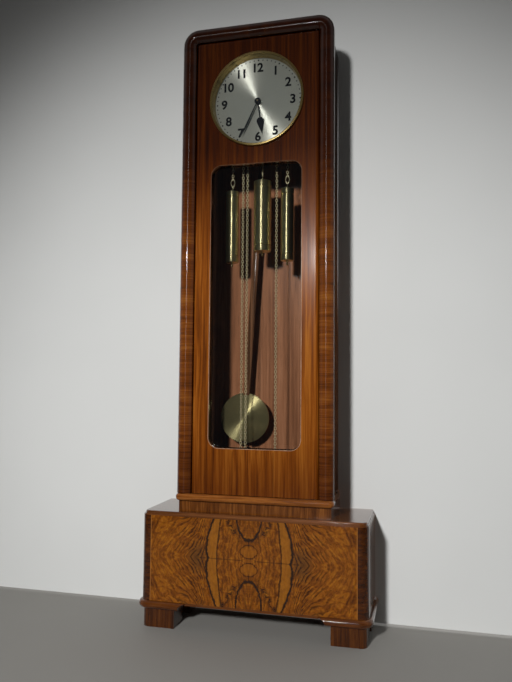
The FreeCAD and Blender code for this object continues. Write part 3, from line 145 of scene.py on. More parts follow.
def settle(obj: Piece, name: str, place: Matrix | None = None, smooth: bool = True) -> Piece:
    """Puts a piece in place and moves its place, turn and scale into its mesh.

    Args:
        obj: The piece, a mesh.
        name: Its name in the scene.
        place: Where it goes, on top of its own place.
        smooth: Whether its gentle edges are shaded smooth.

    Returns:
        The piece, with its object at the origin.
    """
    pick(obj)
    obj.name = name
    obj.data.name = name
    if place is not None:
        obj.matrix_world = place @ obj.matrix_world
    bpy.ops.object.transform_apply(location=True, rotation=True, scale=True)
    if smooth:
        bpy.ops.object.shade_smooth_by_angle(angle=SMOOTH_ANGLE)
    return obj


def join(name: str, parts: Sequence[Piece]) -> Piece:
    """Makes one piece of several meshes.

    Args:
        name: Name of the piece.
        parts: Its meshes.

    Returns:
        The joined piece.
    """
    obj = pick(*parts)
    bpy.ops.object.join()
    obj.name = name
    obj.data.name = name
    return obj


def copy_of(obj: Piece, place: Matrix) -> Piece:
    """Copies a piece with a mesh of its own and moves the copy's mesh.

    Args:
        obj: The piece to copy.
        place: How the copy's mesh is moved.

    Returns:
        The copy.
    """
    twin = obj.copy()
    twin.data = obj.data.copy()
    bpy.context.collection.objects.link(twin)
    twin.data.transform(place)
    return twin


def open_edit() -> None:
    """Enters edit mode with the whole piece selected."""
    bpy.ops.object.mode_set(mode="EDIT")
    bpy.ops.mesh.select_all(action="SELECT")


def close_edit() -> None:
    """Leaves edit mode with every face pointing outwards."""
    bpy.ops.mesh.select_all(action="SELECT")
    bpy.ops.mesh.normals_make_consistent(inside=False)
    bpy.ops.object.mode_set(mode="OBJECT")


def extrude(rise: float) -> None:
    """Draws what is selected out along Z."""
    bpy.ops.mesh.extrude_region_move(TRANSFORM_OT_translate={"value": (0, 0, rise)})


def widen(x_share: float, y_share: float, height: float = 0.0) -> None:
    """Scales what is selected along X and Y, about a point of the Z axis."""
    bpy.ops.transform.resize(value=(x_share, y_share, 1), center_override=(0, 0, height))


def select_points(obj: Piece, wanted: Callable[[Vector], bool]) -> None:
    """Selects, in edit mode, the vertices that a test picks out.

    Args:
        obj: The piece.
        wanted: The test on a vertex's place.
    """
    bpy.ops.object.mode_set(mode="OBJECT")
    for part in (obj.data.edges, obj.data.polygons):
        part.foreach_set("select", [False] * len(part))
    for point in obj.data.vertices:
        point.select = wanted(point.co)
    bpy.ops.object.mode_set(mode="EDIT")
    bpy.ops.mesh.select_mode(type="VERT")


def add_modifier(obj: Piece, kind: str, **settings: object) -> None:
    """Adds a modifier with its settings and applies it at once.

    Args:
        obj: The piece.
        kind: Blender's name of the modifier's type.
        settings: Its properties.
    """
    pick(obj)
    modifier = obj.modifiers.new(kind.lower(), kind)
    for key, value in settings.items():
        setattr(modifier, key, value)
    bpy.ops.object.modifier_apply(modifier=modifier.name)


def cut_block(obj: Piece, low: Vector, high: Vector) -> None:
    """Cuts a squared channel or slot out of a piece.

    Args:
        obj: The piece.
        low: The lowest corner of what is cut away.
        high: Its highest corner.
    """
    tool = start(bpy.ops.mesh.primitive_cube_add, size=1)
    tool.scale = high - low
    tool.location = (low + high) / 2
    settle(tool, "cutter", smooth=False)
    add_modifier(obj, "BOOLEAN", operation="DIFFERENCE", object=tool, solver="EXACT")
    bpy.data.objects.remove(tool)


def turned(name: str, profile: Sequence[Span], place: Matrix, segments: int, ring: bool = False) -> Piece:
    """Turns a piece: a circle is extruded and scaled from step to step of a profile.

    Args:
        name: Name of the piece.
        profile: Radius and height of each step, no radius zero: from the lowest, or once round a ring.
        place: Takes the piece from its own axis to its place.
        segments: Number of sides.
        ring: Whether the profile closes on itself; otherwise both ends are capped.

    Returns:
        The turned piece.
    """
    radius, height = profile[0]
    obj = start(bpy.ops.mesh.primitive_circle_add, vertices=segments, radius=radius,
                fill_type="NOTHING" if ring else "NGON")
    open_edit()
    bpy.ops.transform.translate(value=(0, 0, height))
    for next_radius, next_height in (*profile[1:], profile[0]) if ring else profile[1:]:
        extrude(next_height - height)
        share = next_radius / radius
        widen(share, share, next_height)
        radius, height = next_radius, next_height
    if ring:
        bpy.ops.mesh.select_all(action="SELECT")
        bpy.ops.mesh.remove_doubles(threshold=SEAM_REACH)
    close_edit()
    return settle(obj, name, place)


def toothed_ring(name: str, teeth: int, radii: Place, depth: float, place: Matrix) -> Piece:
    """Ring of teeth: every other pair of points of a ring is drawn out to the tips.

    Args:
        name: Name of the piece.
        teeth: Number of teeth.
        radii: Radius of the hole, at the foot of the teeth and at their tips.
        depth: Thickness of the ring.
        place: Takes the ring from its own axis to its place.

    Returns:
        The toothed ring.
    """
    hole, foot, tip = radii
    obj = start(bpy.ops.mesh.primitive_circle_add, vertices=teeth * POINTS_IN_A_TOOTH, radius=foot,
                fill_type="NGON")
    open_edit()
    bpy.ops.mesh.inset(thickness=foot - hole)
    bpy.ops.mesh.delete(type="FACE")
    select_points(obj, lambda point: point.length > (foot + hole) / 2 and on_a_tooth(point, teeth))
    widen(tip / foot, tip / foot)
    bpy.ops.mesh.select_all(action="SELECT")
    extrude(depth)
    close_edit()
    return settle(obj, name, place, smooth=False)


def on_a_tooth(point: Vector, teeth: int) -> bool:
    """True where a point on a ring belongs to a tooth's tip and not to a gap."""
    step = FULL_TURN / (teeth * POINTS_IN_A_TOOTH)
    return round(math.atan2(point.y, point.x) / step) % POINTS_IN_A_TOOTH in (0, 1)


def facing(point: Vector) -> Matrix:
    """Takes a piece from the Z axis to one that runs back along Y from a point."""
    return Matrix.Translation(point) @ Matrix.Rotation(-QUARTER_TURN, 4, "X")


def joint_place(name: str) -> Vector:
    """Place of a joint's axis."""
    return Vector(next(row for row in frame["joints"] if row["name"] == name)["pos_m"])


def middle(node: str) -> Vector:
    """Middle of a CAD node's box."""
    low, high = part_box(node)
    return (Vector(low) + Vector(high)) / 2


def half_width(node: str) -> float:
    """Half of a CAD node's size across, the radius of a round one."""
    low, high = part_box(node)
    return (high[0] - low[0]) / 2


def dress(obj: Piece, material: Material) -> None:
    """Gives a piece one material in all its slots.

    Args:
        obj: The piece.
        material: Its finish.
    """
    if not obj.material_slots:
        obj.data.materials.append(material)
    for place in obj.material_slots:
        place.material = material


def dress_nodes(material: Material, *nodes: str) -> None:
    """Gives CAD nodes one material."""
    for node in nodes:
        dress(frame["nodes"][node], material)


def fit(obj: Piece, material: Material, body: str | None = None, node: str | None = None) -> Piece:
    """Finishes a piece, hangs it on the body that it moves with and hides the CAD node that it stands for.

    Args:
        obj: The piece.
        material: Its finish.
        body: The body that it rides on, if it isn't blended between two.
        node: The CAD node that it replaces, if any.

    Returns:
        The piece.
    """
    dress(obj, material)
    if body is not None:
        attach(obj, body)
    if node is not None:
        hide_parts(node)
    return obj


# Patterns
MIX_INPUTS = (6, 7)
MIX_OUTPUT = 2


def operation(kind: str, swapped: bool = False) -> Callable[["Term", "float | Term"], "Term"]:
    """Makes an arithmetic method of a term.

    Args:
        kind: Blender's name of the operation.
        swapped: Whether the other number comes first.

    Returns:
        The method.
    """
    def method(self: "Term", other: "float | Term") -> "Term":
        """Result of the operation on this number and another."""
        pair = (other, self) if swapped else (self, other)
        return self.tree.term("Math", *pair, operation=kind)

    return method


@dataclass(frozen=True)
class Term:
    """Number, place or colour of a node tree, which sums and patterns are written with."""

    tree: "Tree"
    socket: Socket

    __add__ = __radd__ = operation("ADD")
    __sub__ = operation("SUBTRACT")
    __rsub__ = operation("SUBTRACT", swapped=True)
    __mul__ = __rmul__ = operation("MULTIPLY")
    __truediv__ = operation("DIVIDE")
    least = operation("MINIMUM")
    most = operation("MAXIMUM")
    below = operation("LESS_THAN")
    angle_over = operation("ARCTAN2")
    to_and_fro = operation("PINGPONG")

    def __abs__(self) -> "Term":
        """The number without its sign."""
        return self.alone("ABSOLUTE")

    def alone(self, kind: str) -> "Term":
        """Result of an operation on this number alone."""
        return self.tree.term("Math", self, operation=kind)

    def parts(self) -> list["Term"]:
        """The three numbers of a place."""
        return [Term(self.tree, socket) for socket in self.tree.node("SeparateXYZ", self).outputs]

    def stretched(self, *shares: float) -> "Term":
        """The place with each axis scaled."""
        return self.tree.term("VectorMath", self, shares, operation="MULTIPLY")

    def unit(self) -> "Term":
        """The direction of a place, one long."""
        return self.tree.term("VectorMath", self, operation="NORMALIZE")

    def level(self, low: float, high: float, to_low: "float | Term" = 0.0, to_high: "float | Term" = 1.0,
              ease: str = "LINEAR") -> "Term":
        """The number taken from one range to another and kept inside it.

        Args:
            low: Start of its own range.
            high: End of that.
            to_low: What the start becomes.
            to_high: What the end becomes.
            ease: How it goes from one to the other.

        Returns:
            The new number.
        """
        return self.tree.term("MapRange", self, low, high, to_low, to_high, clamp=True,
                              interpolation_type=ease)

    def noise(self, scale: float, detail: float = 4, rough: float = 0.55, bend: float = 0.0) -> "Term":
        """Cloudy pattern between 0 and 1, read at this place.

        Args:
            scale: Number of clouds in a metre, where the place is in metres.
            detail: Number of finer layers.
            rough: How strong the finer layers are.
            bend: How far the pattern is twisted.

        Returns:
            The pattern.
        """
        made = self.tree.plug(self.tree.node("TexNoise"), vector=self, scale=scale, detail=detail,
                              roughness=rough, distortion=bend)
        return Term(self.tree, made.outputs[0])

    def ramp(self, stops: Sequence[tuple[float, Colour]]) -> "Term":
        """Colour that goes with the number.

        Args:
            stops: Places on the ramp with their colours.

        Returns:
            The colour.
        """
        made = self.tree.node("ValToRGB", self)
        band = made.color_ramp
        while len(band.elements) < len(stops):
            band.elements.new(1)
        for element, (spot, colour) in zip(band.elements, stops):
            element.position = spot
            element.color = (*colour, 1)
        return Term(self.tree, made.outputs[0])


class Tree:
    """Node tree with short ways to add its nodes."""

    def __init__(self, nodes: bpy.types.NodeTree) -> None:
        """Takes the tree that nodes are added to."""
        self.tree = nodes

    def fill(self, socket: Socket, value: object) -> None:
        """Links a socket to a term, or sets its value.

        Args:
            socket: The input socket.
            value: A term, a number, a place or a colour; None leaves the socket as it is.
        """
        if isinstance(value, Term):
            self.tree.links.new(value.socket, socket)
        elif value is not None:
            socket.default_value = (*value, 1) if socket.type == "RGBA" else value

    def plug(self, node: bpy.types.Node, **inputs: object) -> bpy.types.Node:
        """Fills inputs of a node by name, in small letters with underscores.

        Args:
            node: The node.
            inputs: Values or terms.

        Returns:
            The node.
        """
        sockets = {socket.name.lower().replace(" ", "_"): socket for socket in node.inputs}
        for name, value in inputs.items():
            self.fill(sockets[name], value)
        return node

    def node(self, kind: str, *inputs: object, **settings: object) -> bpy.types.Node:
        """Adds a node, sets its properties and fills its inputs in order.

        Args:
            kind: Blender's node type without its first words.
            inputs: Values or terms for the first inputs.
            settings: Properties of the node.

        Returns:
            The node.
        """
        made = self.tree.nodes.new("ShaderNode" + kind)
        for key, value in settings.items():
            setattr(made, key, value)
        for socket, value in zip(made.inputs, inputs):
            self.fill(socket, value)
        return made

    def term(self, kind: str, *inputs: object, out: int | str = 0, **settings: object) -> Term:
        """One output of a new node."""
        return Term(self, self.node(kind, *inputs, **settings).outputs[out])

    def combine(self, x: object, y: object, z: object) -> Term:
        """A place of three numbers."""
        return self.term("CombineXYZ", x, y, z)

    def mix(self, share: object, first: object, second: object, blend: str = "MIX") -> Term:
        """Mix of two colours.

        Args:
            share: How far the second one covers the first, from 0 to 1.
            first: A colour.
            second: The colour over it.
            blend: Blender's name of the way that they mix.

        Returns:
            The mixed colour.
        """
        made = self.node("Mix", share, data_type="RGBA", blend_type=blend)
        for number, colour in zip(MIX_INPUTS, (first, second)):
            self.fill(made.inputs[number], colour)
        return Term(self, made.outputs[MIX_OUTPUT])


class Shade(Tree):
    """A material's node tree round one principled shader."""

    def __init__(self, name: str) -> None:
        """Makes the material.

        Args:
            name: Its name.
        """
        self.material = bpy.data.materials.new(name)
        self.material.use_nodes = True
        super().__init__(self.material.node_tree)
        self.shader = self.tree.nodes["Principled BSDF"]
        self.place = self.term("TexCoord", out="Object")

    def set(self, **values: object) -> None:
        """Fills the shader's own sockets by name."""
        self.plug(self.shader, **values)

    def polish(self, streaks: Term, weight: float = 0.7, rough: float = 0.08, lustre: float = 0.16) -> None:
        """Gives wood its sheen under a clear polish.

        Args:
            streaks: Pattern of the wood, smoother where it is high.
            weight: How much of the polish there is.
            rough: How dull the polish is.
            lustre: How much the wood itself shines.
        """
        self.set(roughness=streaks.level(0.3, 0.7, 0.26, 0.20), coat_weight=weight, coat_roughness=rough,
                 coat_ior=1.5, specular_ior_level=lustre)

    def raise_by(self, height: Term, depth: float, strength: float) -> None:
        """Raises the surface by a pattern, to a depth in metres."""
        made = self.plug(self.node("Bump"), strength=strength, distance=depth, height=height)
        self.set(normal=Term(self, made.outputs[0]))

    def cover(self, surface: Term) -> None:
        """Makes a mix of shaders the material's surface."""
        self.fill(self.tree.nodes["Material Output"].inputs["Surface"], surface)


# Finishes
# Painted shade by height: the share of a wood's colour left at each height (darker up round the dial and low
# down, where the light falls off), and how much browner the colour gets.
PAINTED_SHADE_HEIGHT = 2.0
PAINTED_SHADE_SHARES = ((0.42, 0.50), (0.60, 0.88), (0.80, 1.0), (1.10, 1.0), (1.22, 0.72), (1.36, 0.34), (1.48, 0.17),
               (1.85, 0.14))
PAINTED_SHADE_BROWNING = (1.0, 1.2, 1.4)


def paint_height_shade(shade: Shade, tone: Term) -> Term:
    """Paints shade into a wood by height: darker and browner most of all round the dial, and also low down,
    where the light falls off.

    Args:
        shade: The material.
        tone: Its colour.

    Returns:
        The colour with its painted shade, falling off from the window's middle up and down.
    """
    height = shade.place.parts()[2] * (1 / PAINTED_SHADE_HEIGHT)
    stops = [(level / PAINTED_SHADE_HEIGHT, tuple(left ** power for power in PAINTED_SHADE_BROWNING)) for level, left in PAINTED_SHADE_SHARES]
    return shade.mix(1.0, tone, height.ramp(stops), "MULTIPLY")


@dataclass(frozen=True)
class Wood:
    """Three colours of a wood, from its dark streaks to its light ones."""

    dark: Colour
    body: Colour
    light: Colour

    def over(self, pattern: Term, spots: Place) -> Term:
        """The wood's colour at each value of a pattern."""
        return pattern.ramp(tuple(zip(spots, (self.dark, self.body, self.light))))


@dataclass(frozen=True)
class Veneer:
    """Polished wood with its grain along one axis."""

    name: str
    grain: Grain
    wood: Wood
    streak: float = 7.0 * MM
    length: float = 260.0 * MM
    wave: float = 6.0 * MM
    polish: float = 0.7
    gloss: float = 0.08
    lustre: float = 0.16
    shift: float = 0.0
    seams: tuple[float, ...] = ()
    seam_top: float = 0.0
    seam_line: Span = (0.6 * MM, 1.6 * MM)
    seam_fade: float = 2.0 * MM
    # ages: paints the height shade into the colour, darker round the dial and low down.
    ages: bool = False
    # shade_painted_within and painted_shade_colour: faces inside the case are painted near black as shade,
    # with a bluish cast of painted reflection.
    shade_painted_within: float = 0.0
    painted_shade_colour: Colour = (0.0016, 0.0022, 0.0030)
    pore_depth: float = 0.03 * MM

    def along(self, shade: Shade) -> Term:
        """Place stretched so that its patterns run along the grain.

        Args:
            shade: The material.

        Returns:
            The place.
        """
        swing = (shade.place.noise(3.2, 2) - 0.5) * (self.wave * 2)
        push = [swing, swing, swing]
        push[self.grain.value] = self.shift
        moved = shade.term("VectorMath", shade.place, shade.combine(*push), operation="ADD")
        shares = [1 / self.streak] * 3
        shares[self.grain.value] = 1 / self.length
        return moved.stretched(*shares)

    def make(self) -> Material:
        """Builds the material.

        Returns:
            The material.
        """
        shade = Shade(self.name)
        along = self.along(shade)
        streaks = along.noise(1.0, 7, 0.62, 0.35)
        figure = along.noise(0.23, 3, 0.5, 0.8)
        pores = along.noise(6.5, 2, 0.5)
        tone = self.wood.over(streaks * 0.62 + figure * 0.38, (0.33, 0.50, 0.66))
        tone = shade.mix(1.0, tone, pores.level(0.28, 0.40, 0.62, 1.0), "MULTIPLY")
        for seam in self.seams:
            tone = self.joined(shade, tone, seam)
        # Painted shade by height.
        if self.ages:
            tone = paint_height_shade(shade, tone)
        # Inside faces painted near black: painted shade, with a bluish painted reflection of the glass.
        if self.shade_painted_within:
            off = abs(shade.place.parts()[0])
            inside = off.level(self.shade_painted_within, self.shade_painted_within + MM, 1.0, 0.0)
            tone = shade.mix(inside, tone, shade.mix(0.15, self.painted_shade_colour, tone))
        shade.set(base_color=tone)
        shade.polish(streaks, self.polish, self.gloss, self.lustre)
        shade.raise_by(pores, self.pore_depth, 0.4)
        return shade.material

    def joined(self, shade: Shade, tone: Term, place: float) -> Term:
        """Draws a fine dark upright joint between two leaves, below the window alone.

        Args:
            shade: The material.
            tone: Its colour.
            place: The joint's place across.

        Returns:
            The colour with the joint.
        """
        x, _, z = shade.place.parts()
        line = abs(x - place).level(*self.seam_line, 0.75, 0.0)
        low = z.level(self.seam_top - self.seam_fade, self.seam_top + self.seam_fade, 1.0, 0.0)
        return shade.mix(line * low, tone, self.wood.dark)


@dataclass(frozen=True)
class CrossGrain:
    """Walnut moulding whose grain runs across its length, round its corners too."""

    name: str
    wood: Wood = Wood((0.045, 0.0105, 0.0013), (0.140, 0.0360, 0.0042), (0.250, 0.0850, 0.0125))
    streak: float = 6.0 * MM
    depth_scale: float = 9.0
    figure_depth: float = 0.04 * MM
    least_out: float = 0.1 * MM

    def corner_place(self, shade: Shade) -> tuple[Term, Term]:
        """How far a spot is out from and up over the middle of the nearer rounded corner.

        Args:
            shade: The material.

        Returns:
            Both lengths, none below zero.
        """
        low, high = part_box("frame_top")
        x, _, z = shade.place.parts()
        out = abs(x) - (half_width("frame_top") - (high[2] - low[2]))
        return out.most(self.least_out), (z - low[2]).most(0.0)

    def run(self, shade: Shade) -> Term:
        """Length along the frame, up a post, round its corner and along the top.

        Args:
            shade: The material.

        Returns:
            The length.
        """
        low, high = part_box("frame_top")
        radius = high[2] - low[2]
        out, up = self.corner_place(shade)
        x, _, z = shade.place.parts()
        flat = (half_width("frame_top") - radius - abs(x)).most(0.0)
        return z.least(low[2]) + up.angle_over(out) * radius + flat

    def make(self) -> Material:
        """Builds the material.

        Returns:
            The material, with its sheen drawn out along the moulding.
        """
        shade = Shade(self.name)
        x, y, _ = shade.place.parts()
        line = shade.combine(self.run(shade) * (1 / self.streak), (abs(x) + y) * self.depth_scale, 0.0)
        streaks = line.noise(1.0, 6, 0.62, 0.2)
        bands = line.stretched(0.16, 0.5, 1.0).noise(1.0, 3, 0.5, 0.3)
        # The frame's colour carries the painted height shade.
        shade.set(base_color=paint_height_shade(shade, self.wood.over(streaks * 0.6 + bands * 0.4, (0.34, 0.50, 0.66))))
        shade.polish(streaks, 0.45, lustre=0.3)
        shade.raise_by(streaks, self.figure_depth, 0.3)
        out, up = self.corner_place(shade)
        lengthwise = shade.combine(up * x.alone("SIGN") * -1.0, 0.0, out).unit()
        shade.set(anisotropic=0.9, tangent=lengthwise)
        return shade.material


@dataclass(frozen=True)
class Leaf:
    """Spot on one of the matched leaves of a burr, with the patterns that bend its figure."""

    shade: Shade
    across: Term
    up: Term
    flat: Term
    coarse: Term
    fine: Term
    sway: Term


@dataclass(frozen=True)
class Eye:
    """Oval of an inky line: its height over the middle, half sizes, strength, line and filling."""

    up: float
    half_across: float
    half_up: float
    strength: float
    line: float
    filled: float


@dataclass(frozen=True)
class Burr:
    """Burr walnut of the base front, four leaves matched about an upright and a level line."""

    name: str
    wood: Wood = Wood((0.052, 0.0125, 0.0008), (0.150, 0.0400, 0.0014), (0.285, 0.0950, 0.0050))
    ink: Colour = (0.014, 0.0045, 0.0008)
    smoked: Colour = (0.055, 0.0230, 0.0060)
    blond: Colour = (0.250, 0.0930, 0.0070)
    stringing: Colour = (0.300, 0.1150, 0.0200)
    centre: Span = (-4.0 * MM, 220.0 * MM)
    sway_coarse: float = 30.0 * MM
    sway_fine: float = 12.0 * MM
    ring_gap: float = 12.5 * MM
    leaning: Span = (100.0 * MM, 160.0 * MM)
    lean_ends: Span = (190.0 * MM, 290.0 * MM)
    lined: Span = (128.0 * MM, 136.0 * MM)
    lines_fade: Span = (160.0 * MM, 260.0 * MM)
    centre_lined: Span = (84.0 * MM, 100.0 * MM)
    smoke_across: float = 158.0 * MM
    smoke_half: Span = (30.0 * MM, 50.0 * MM)
    band_inner: float = 99.0 * MM
    band_outer: float = 134.0 * MM
    band_bows: Span = (1.0, 1.9)
    notch: Span = (20.0 * MM, 6.0 * MM)
    band_lines: tuple[Span, Span] = ((4.2 * MM, 0.8), (7.0 * MM, 0.95))
    eyes: tuple[Eye, ...] = (Eye(134.0 * MM, 39.0 * MM, 74.0 * MM, 0.95, 6.2 * MM, 0.0),
                             Eye(26.2 * MM, 26.0 * MM, 19.0 * MM, 0.7, 3.4 * MM, 0.4),
                             Eye(0.0, 21.0 * MM, 6.0 * MM, 0.5, 2.6 * MM, 0.2))
    blot_foot: Span = (26.0 * MM, 50.0 * MM)
    blot_slope: float = 0.62
    blot_width: Span = (4.0 * MM, 14.0 * MM)
    blots_begin: Span = (48.0 * MM, 66.0 * MM)
    fold_up: float = 49.0 * MM
    fold_height: Span = (8.0 * MM, 13.0 * MM)
    fold_width: float = 2.6 * MM
    joint_width: float = 2.4 * MM
    joint_begins: Span = (20.0 * MM, 26.0 * MM)
    joint_fades: Span = (130.0 * MM, 170.0 * MM)
    string_inset: float = 1.4 * MM
    string_line: Span = (0.6 * MM, 1.2 * MM)

    def make(self) -> Material:
        """Builds the material.

        Returns:
            The material.
        """
        shade = Shade(self.name)
        x, _, z = shade.place.parts()
        across, up = abs(x - self.centre[0]), abs(z - self.centre[1])
        flat = shade.combine(across, up, 0.0)
        coarse, fine = flat.noise(12.0, 2) - 0.5, flat.noise(55.0, 3) - 0.5
        leaf = Leaf(shade, across, up, flat, coarse, fine, coarse * self.sway_coarse + fine * self.sway_fine)
        tone, inky = self.figure(leaf)
        tone = self.smoke(leaf, tone)
        tone = self.blond_band(leaf, tone)
        tone = shade.mix(inky, tone, self.ink)
        tone = self.ovals(leaf, tone)
        tone = self.blots(leaf, tone)
        shade.set(base_color=self.strings(shade, tone, x))
        shade.polish(shade.place.noise(60.0))
        return shade.material

    def figure(self, leaf: Leaf) -> tuple[Term, Term]:
        """Growth lines, upright in the middle and pointed outside, with clouds over them.

        Args:
            leaf: The spot.

        Returns:
            Its colour, and how inky it is.
        """
        across, up = leaf.across, leaf.up
        lean = across.level(*self.leaning, 0.14, 0.80) * across.level(*self.lean_ends, 1.0, 0.45)
        flow = across + leaf.sway + lean * up
        stretched = leaf.shade.combine(flow * 120.0, (up - across * 0.5) * 22.0, 0.0)
        streaks, clouds = stretched.noise(1.0, 7, 0.68, 0.7), leaf.flat.noise(34.0, 6, 0.65, 1.6)
        tone = self.wood.over(streaks * 0.55 + clouds * 0.45, (0.36, 0.48, 0.62))
        rings = (flow * (1 / self.ring_gap) + stretched.noise(0.35, 3) * 1.4).to_and_fro(0.5)
        uneven = leaf.flat.noise(48.0, 3).level(0.34, 0.54)
        outside = across.level(*self.lines_fade, 1.0, 0.32) * across.level(*self.lined)
        share = outside.most(across.level(*self.centre_lined, 0.5, 0.0))
        return tone, rings.level(0.08, 0.26, 1.0, 0.0) * uneven * share * 0.9

    def smoke(self, leaf: Leaf, tone: Term) -> Term:
        """Smoky patch outside the pale band, at mid height.

        Args:
            leaf: The spot.
            tone: Its colour.

        Returns:
            The colour with the patch.
        """
        side = (leaf.across - self.smoke_across) / self.smoke_half[0]
        rise = leaf.up / self.smoke_half[1]
        away = side * side + rise * rise + leaf.coarse
        return leaf.shade.mix(away.level(0.1, 1.3, 0.62, 0.0), tone, self.smoked)

    def blond_band(self, leaf: Leaf, tone: Term) -> Term:
        """Pale upright band of each leaf, bowed, between a light inky line and a heavy one.

        Args:
            leaf: The spot.
            tone: Its colour.

        Returns:
            The colour with the band.
        """
        shade, bow = leaf.shade, leaf.up * leaf.up
        moved = leaf.across + leaf.sway * 0.55
        height, notch = self.notch
        inner = moved + bow * self.band_bows[0] - self.band_inner
        outer = moved + bow * self.band_bows[1] - self.band_outer + leaf.up.level(0.0, height, notch, 0.0)
        within = inner.level(-MM, 2 * MM, 0.0, 1.0) * outer.level(-2 * MM, MM, 1.0, 0.0)
        tone = shade.mix(within * 0.85, tone, shade.mix(0.42, self.blond, tone))
        uneven = shade.place.noise(85.0, 3, 0.7)
        for edge, (width, strength) in zip((inner, outer), self.band_lines):
            reach = uneven.level(0.32, 0.62, width * 0.3, width)
            tone = self.inked(shade, tone, edge, reach, strength, strength * 1.8)
        return tone

    def inked(self, shade: Shade, tone: Term, away: Term, reach: Term, most: float, rise: float) -> Term:
        """Draws an inky line with soft edges.

        Args:
            shade: The material.
            tone: Its colour.
            away: Distance from the line's middle.
            reach: Distance at which it ends.
            most: How inky it gets.
            rise: How steeply it gets so.

        Returns:
            The colour with the line.
        """
        line = (1.0 - abs(away) / reach).most(0.0) * rise
        return shade.mix(line.least(most), tone, self.ink)

    def ovals(self, leaf: Leaf, tone: Term) -> Term:
        """Arch at the upper and lower edge, a round eye by each and a small knot in the middle.

        Args:
            leaf: The spot.
            tone: Its colour.

        Returns:
            The colour with the ovals.
        """
        shade = leaf.shade
        uneven = shade.place.noise(95.0, 3, 0.7)
        for eye in self.eyes:
            side, rise = leaf.across / eye.half_across, (leaf.up - eye.up) / eye.half_up
            rim = (side * side + rise * rise).alone("SQRT") - 1.0
            away = rim + leaf.fine * (self.sway_fine / eye.half_across)
            tone = shade.mix(away.level(-0.25, -0.02, eye.filled, 0.0), tone, self.wood.light)
            thick = eye.line / eye.half_across
            reach = uneven.level(0.30, 0.65, thick * 0.35, thick)
            tone = self.inked(shade, tone, away, reach, eye.strength, eye.strength * 1.6)
        return tone

    def blots(self, leaf: Leaf, tone: Term) -> Term:
        """Inky blots beside the arches, the short line between arch and eye, and the level joint.

        Args:
            leaf: The spot.
            tone: Its colour.

        Returns:
            The colour with them.
        """
        shade, across, up = leaf.shade, leaf.across, leaf.up
        spots = leaf.flat.noise(60.0, 4, 0.65, 1.2).level(0.44, 0.54)
        slope = (up - self.blot_foot[1]) * self.blot_slope + self.blot_foot[0]
        beside = abs(across - slope).level(*self.blot_width, 1.0, 0.0) * up.level(*self.blots_begin)
        tone = shade.mix(spots * beside * 0.85, tone, self.ink)
        fold = across.level(0.0, self.fold_width, 0.7, 0.0)
        fold = fold * abs(up - self.fold_up).level(*self.fold_height, 1.0, 0.0)
        joint = up.level(0.0, self.joint_width, 0.65, 0.0) * across.level(*self.joint_begins)
        joint = joint * across.level(*self.joint_fades, 1.0, 0.15)
        return shade.mix(fold.most(joint), tone, self.ink)

    def strings(self, shade: Shade, tone: Term, x: Term) -> Term:
        """Thin pale string inlaid along both upright edges of the panel.

        Args:
            shade: The material.
            tone: Its colour.
            x: The spot's place across.

        Returns:
            The colour with the strings.
        """
        gap = abs(abs(x - middle("base_front").x) - (half_width("base_front") - self.string_inset))
        return shade.mix(gap.level(*self.string_line, 0.8, 0.0), tone, self.stringing)


@dataclass(frozen=True)
class Metal:
    """Metal with fine brushing, in a ring about a point or along an axis."""

    name: str
    colour: Colour
    rough: float = 0.3
    stretch: float = 0.0
    centre: Vector | None = None
    upright: bool = False
    wear: float = 0.12
    bare: float = 1.0
    scored: float = 0.35
    ring_scratches: float = 1800.0
    upright_scratches: Place = (60.0, 60.0, 1500.0)
    loose_scratches: Place = (240.0, 240.0, 240.0)
    score_depth: float = 0.01 * MM

    def make(self) -> Material:
        """Builds the material.

        Returns:
            The material.
        """
        shade = Shade(self.name)
        if self.centre is not None:
            x, _, z = shade.place.parts()
            spoke = shade.combine(x - self.centre.x, 0.0, z - self.centre.z)
            distance = shade.term("VectorMath", spoke, operation="LENGTH", out="Value")
            scratches = shade.combine(distance, 0.0, 0.0).noise(self.ring_scratches, 3)
            shade.set(tangent=spoke.unit())
        elif self.upright:
            scratches = shade.place.stretched(*self.upright_scratches).noise(1.0)
            shade.set(tangent=shade.combine(0.0, 0.0, 1.0))
        else:
            scratches = shade.place.stretched(*self.loose_scratches).noise(1.0)
        patina = tuple(part * (1 - self.wear) for part in self.colour)
        tone = shade.mix(shade.place.noise(38.0, 3).level(0.35, 0.75), self.colour, patina)
        shade.set(base_color=tone, metallic=self.bare, anisotropic=self.stretch,
                  roughness=scratches.level(0.3, 0.7, self.rough * 0.85, self.rough * 1.15))
        if self.scored:
            shade.raise_by(scratches, self.score_depth, self.scored)
        return shade.material


@dataclass(frozen=True)
class Paint:
    """Satin dark paint or ink with a faint unevenness."""

    name: str
    colour: Colour
    rough: float

    def make(self) -> Material:
        """Builds the material.

        Returns:
            The material.
        """
        shade = Shade(self.name)
        cloud = shade.place.noise(120.0, 3)
        wear_and_highlight = tuple(part * 1.6 + 0.004 for part in self.colour)
        shade.set(base_color=shade.mix(cloud.level(0.4, 0.9), self.colour, wear_and_highlight), specular_ior_level=0.12,
                  roughness=cloud.level(0.3, 0.7, self.rough * 0.9, self.rough * 1.1))
        return shade.material


@dataclass(frozen=True)
class ClearGlass:
    """Flat clear glass: what is behind shows, with a mirror sheen on top."""

    name: str
    clear: Colour = (0.97, 0.975, 0.97)
    gloss: Colour = (0.72, 0.88, 1.0)
    sheen: float = 0.9

    def make(self) -> Material:
        """Builds the material.

        Returns:
            The material.
        """
        shade = Shade(self.name)
        shade.tree.nodes.remove(shade.shader)
        share = shade.term("Fresnel", 1.5) * self.sheen
        clear, gloss = shade.term("BsdfTransparent", self.clear), shade.term("BsdfGlossy", self.gloss, 0.012)
        shade.cover(shade.term("MixShader", share, clear, gloss))
        return shade.material


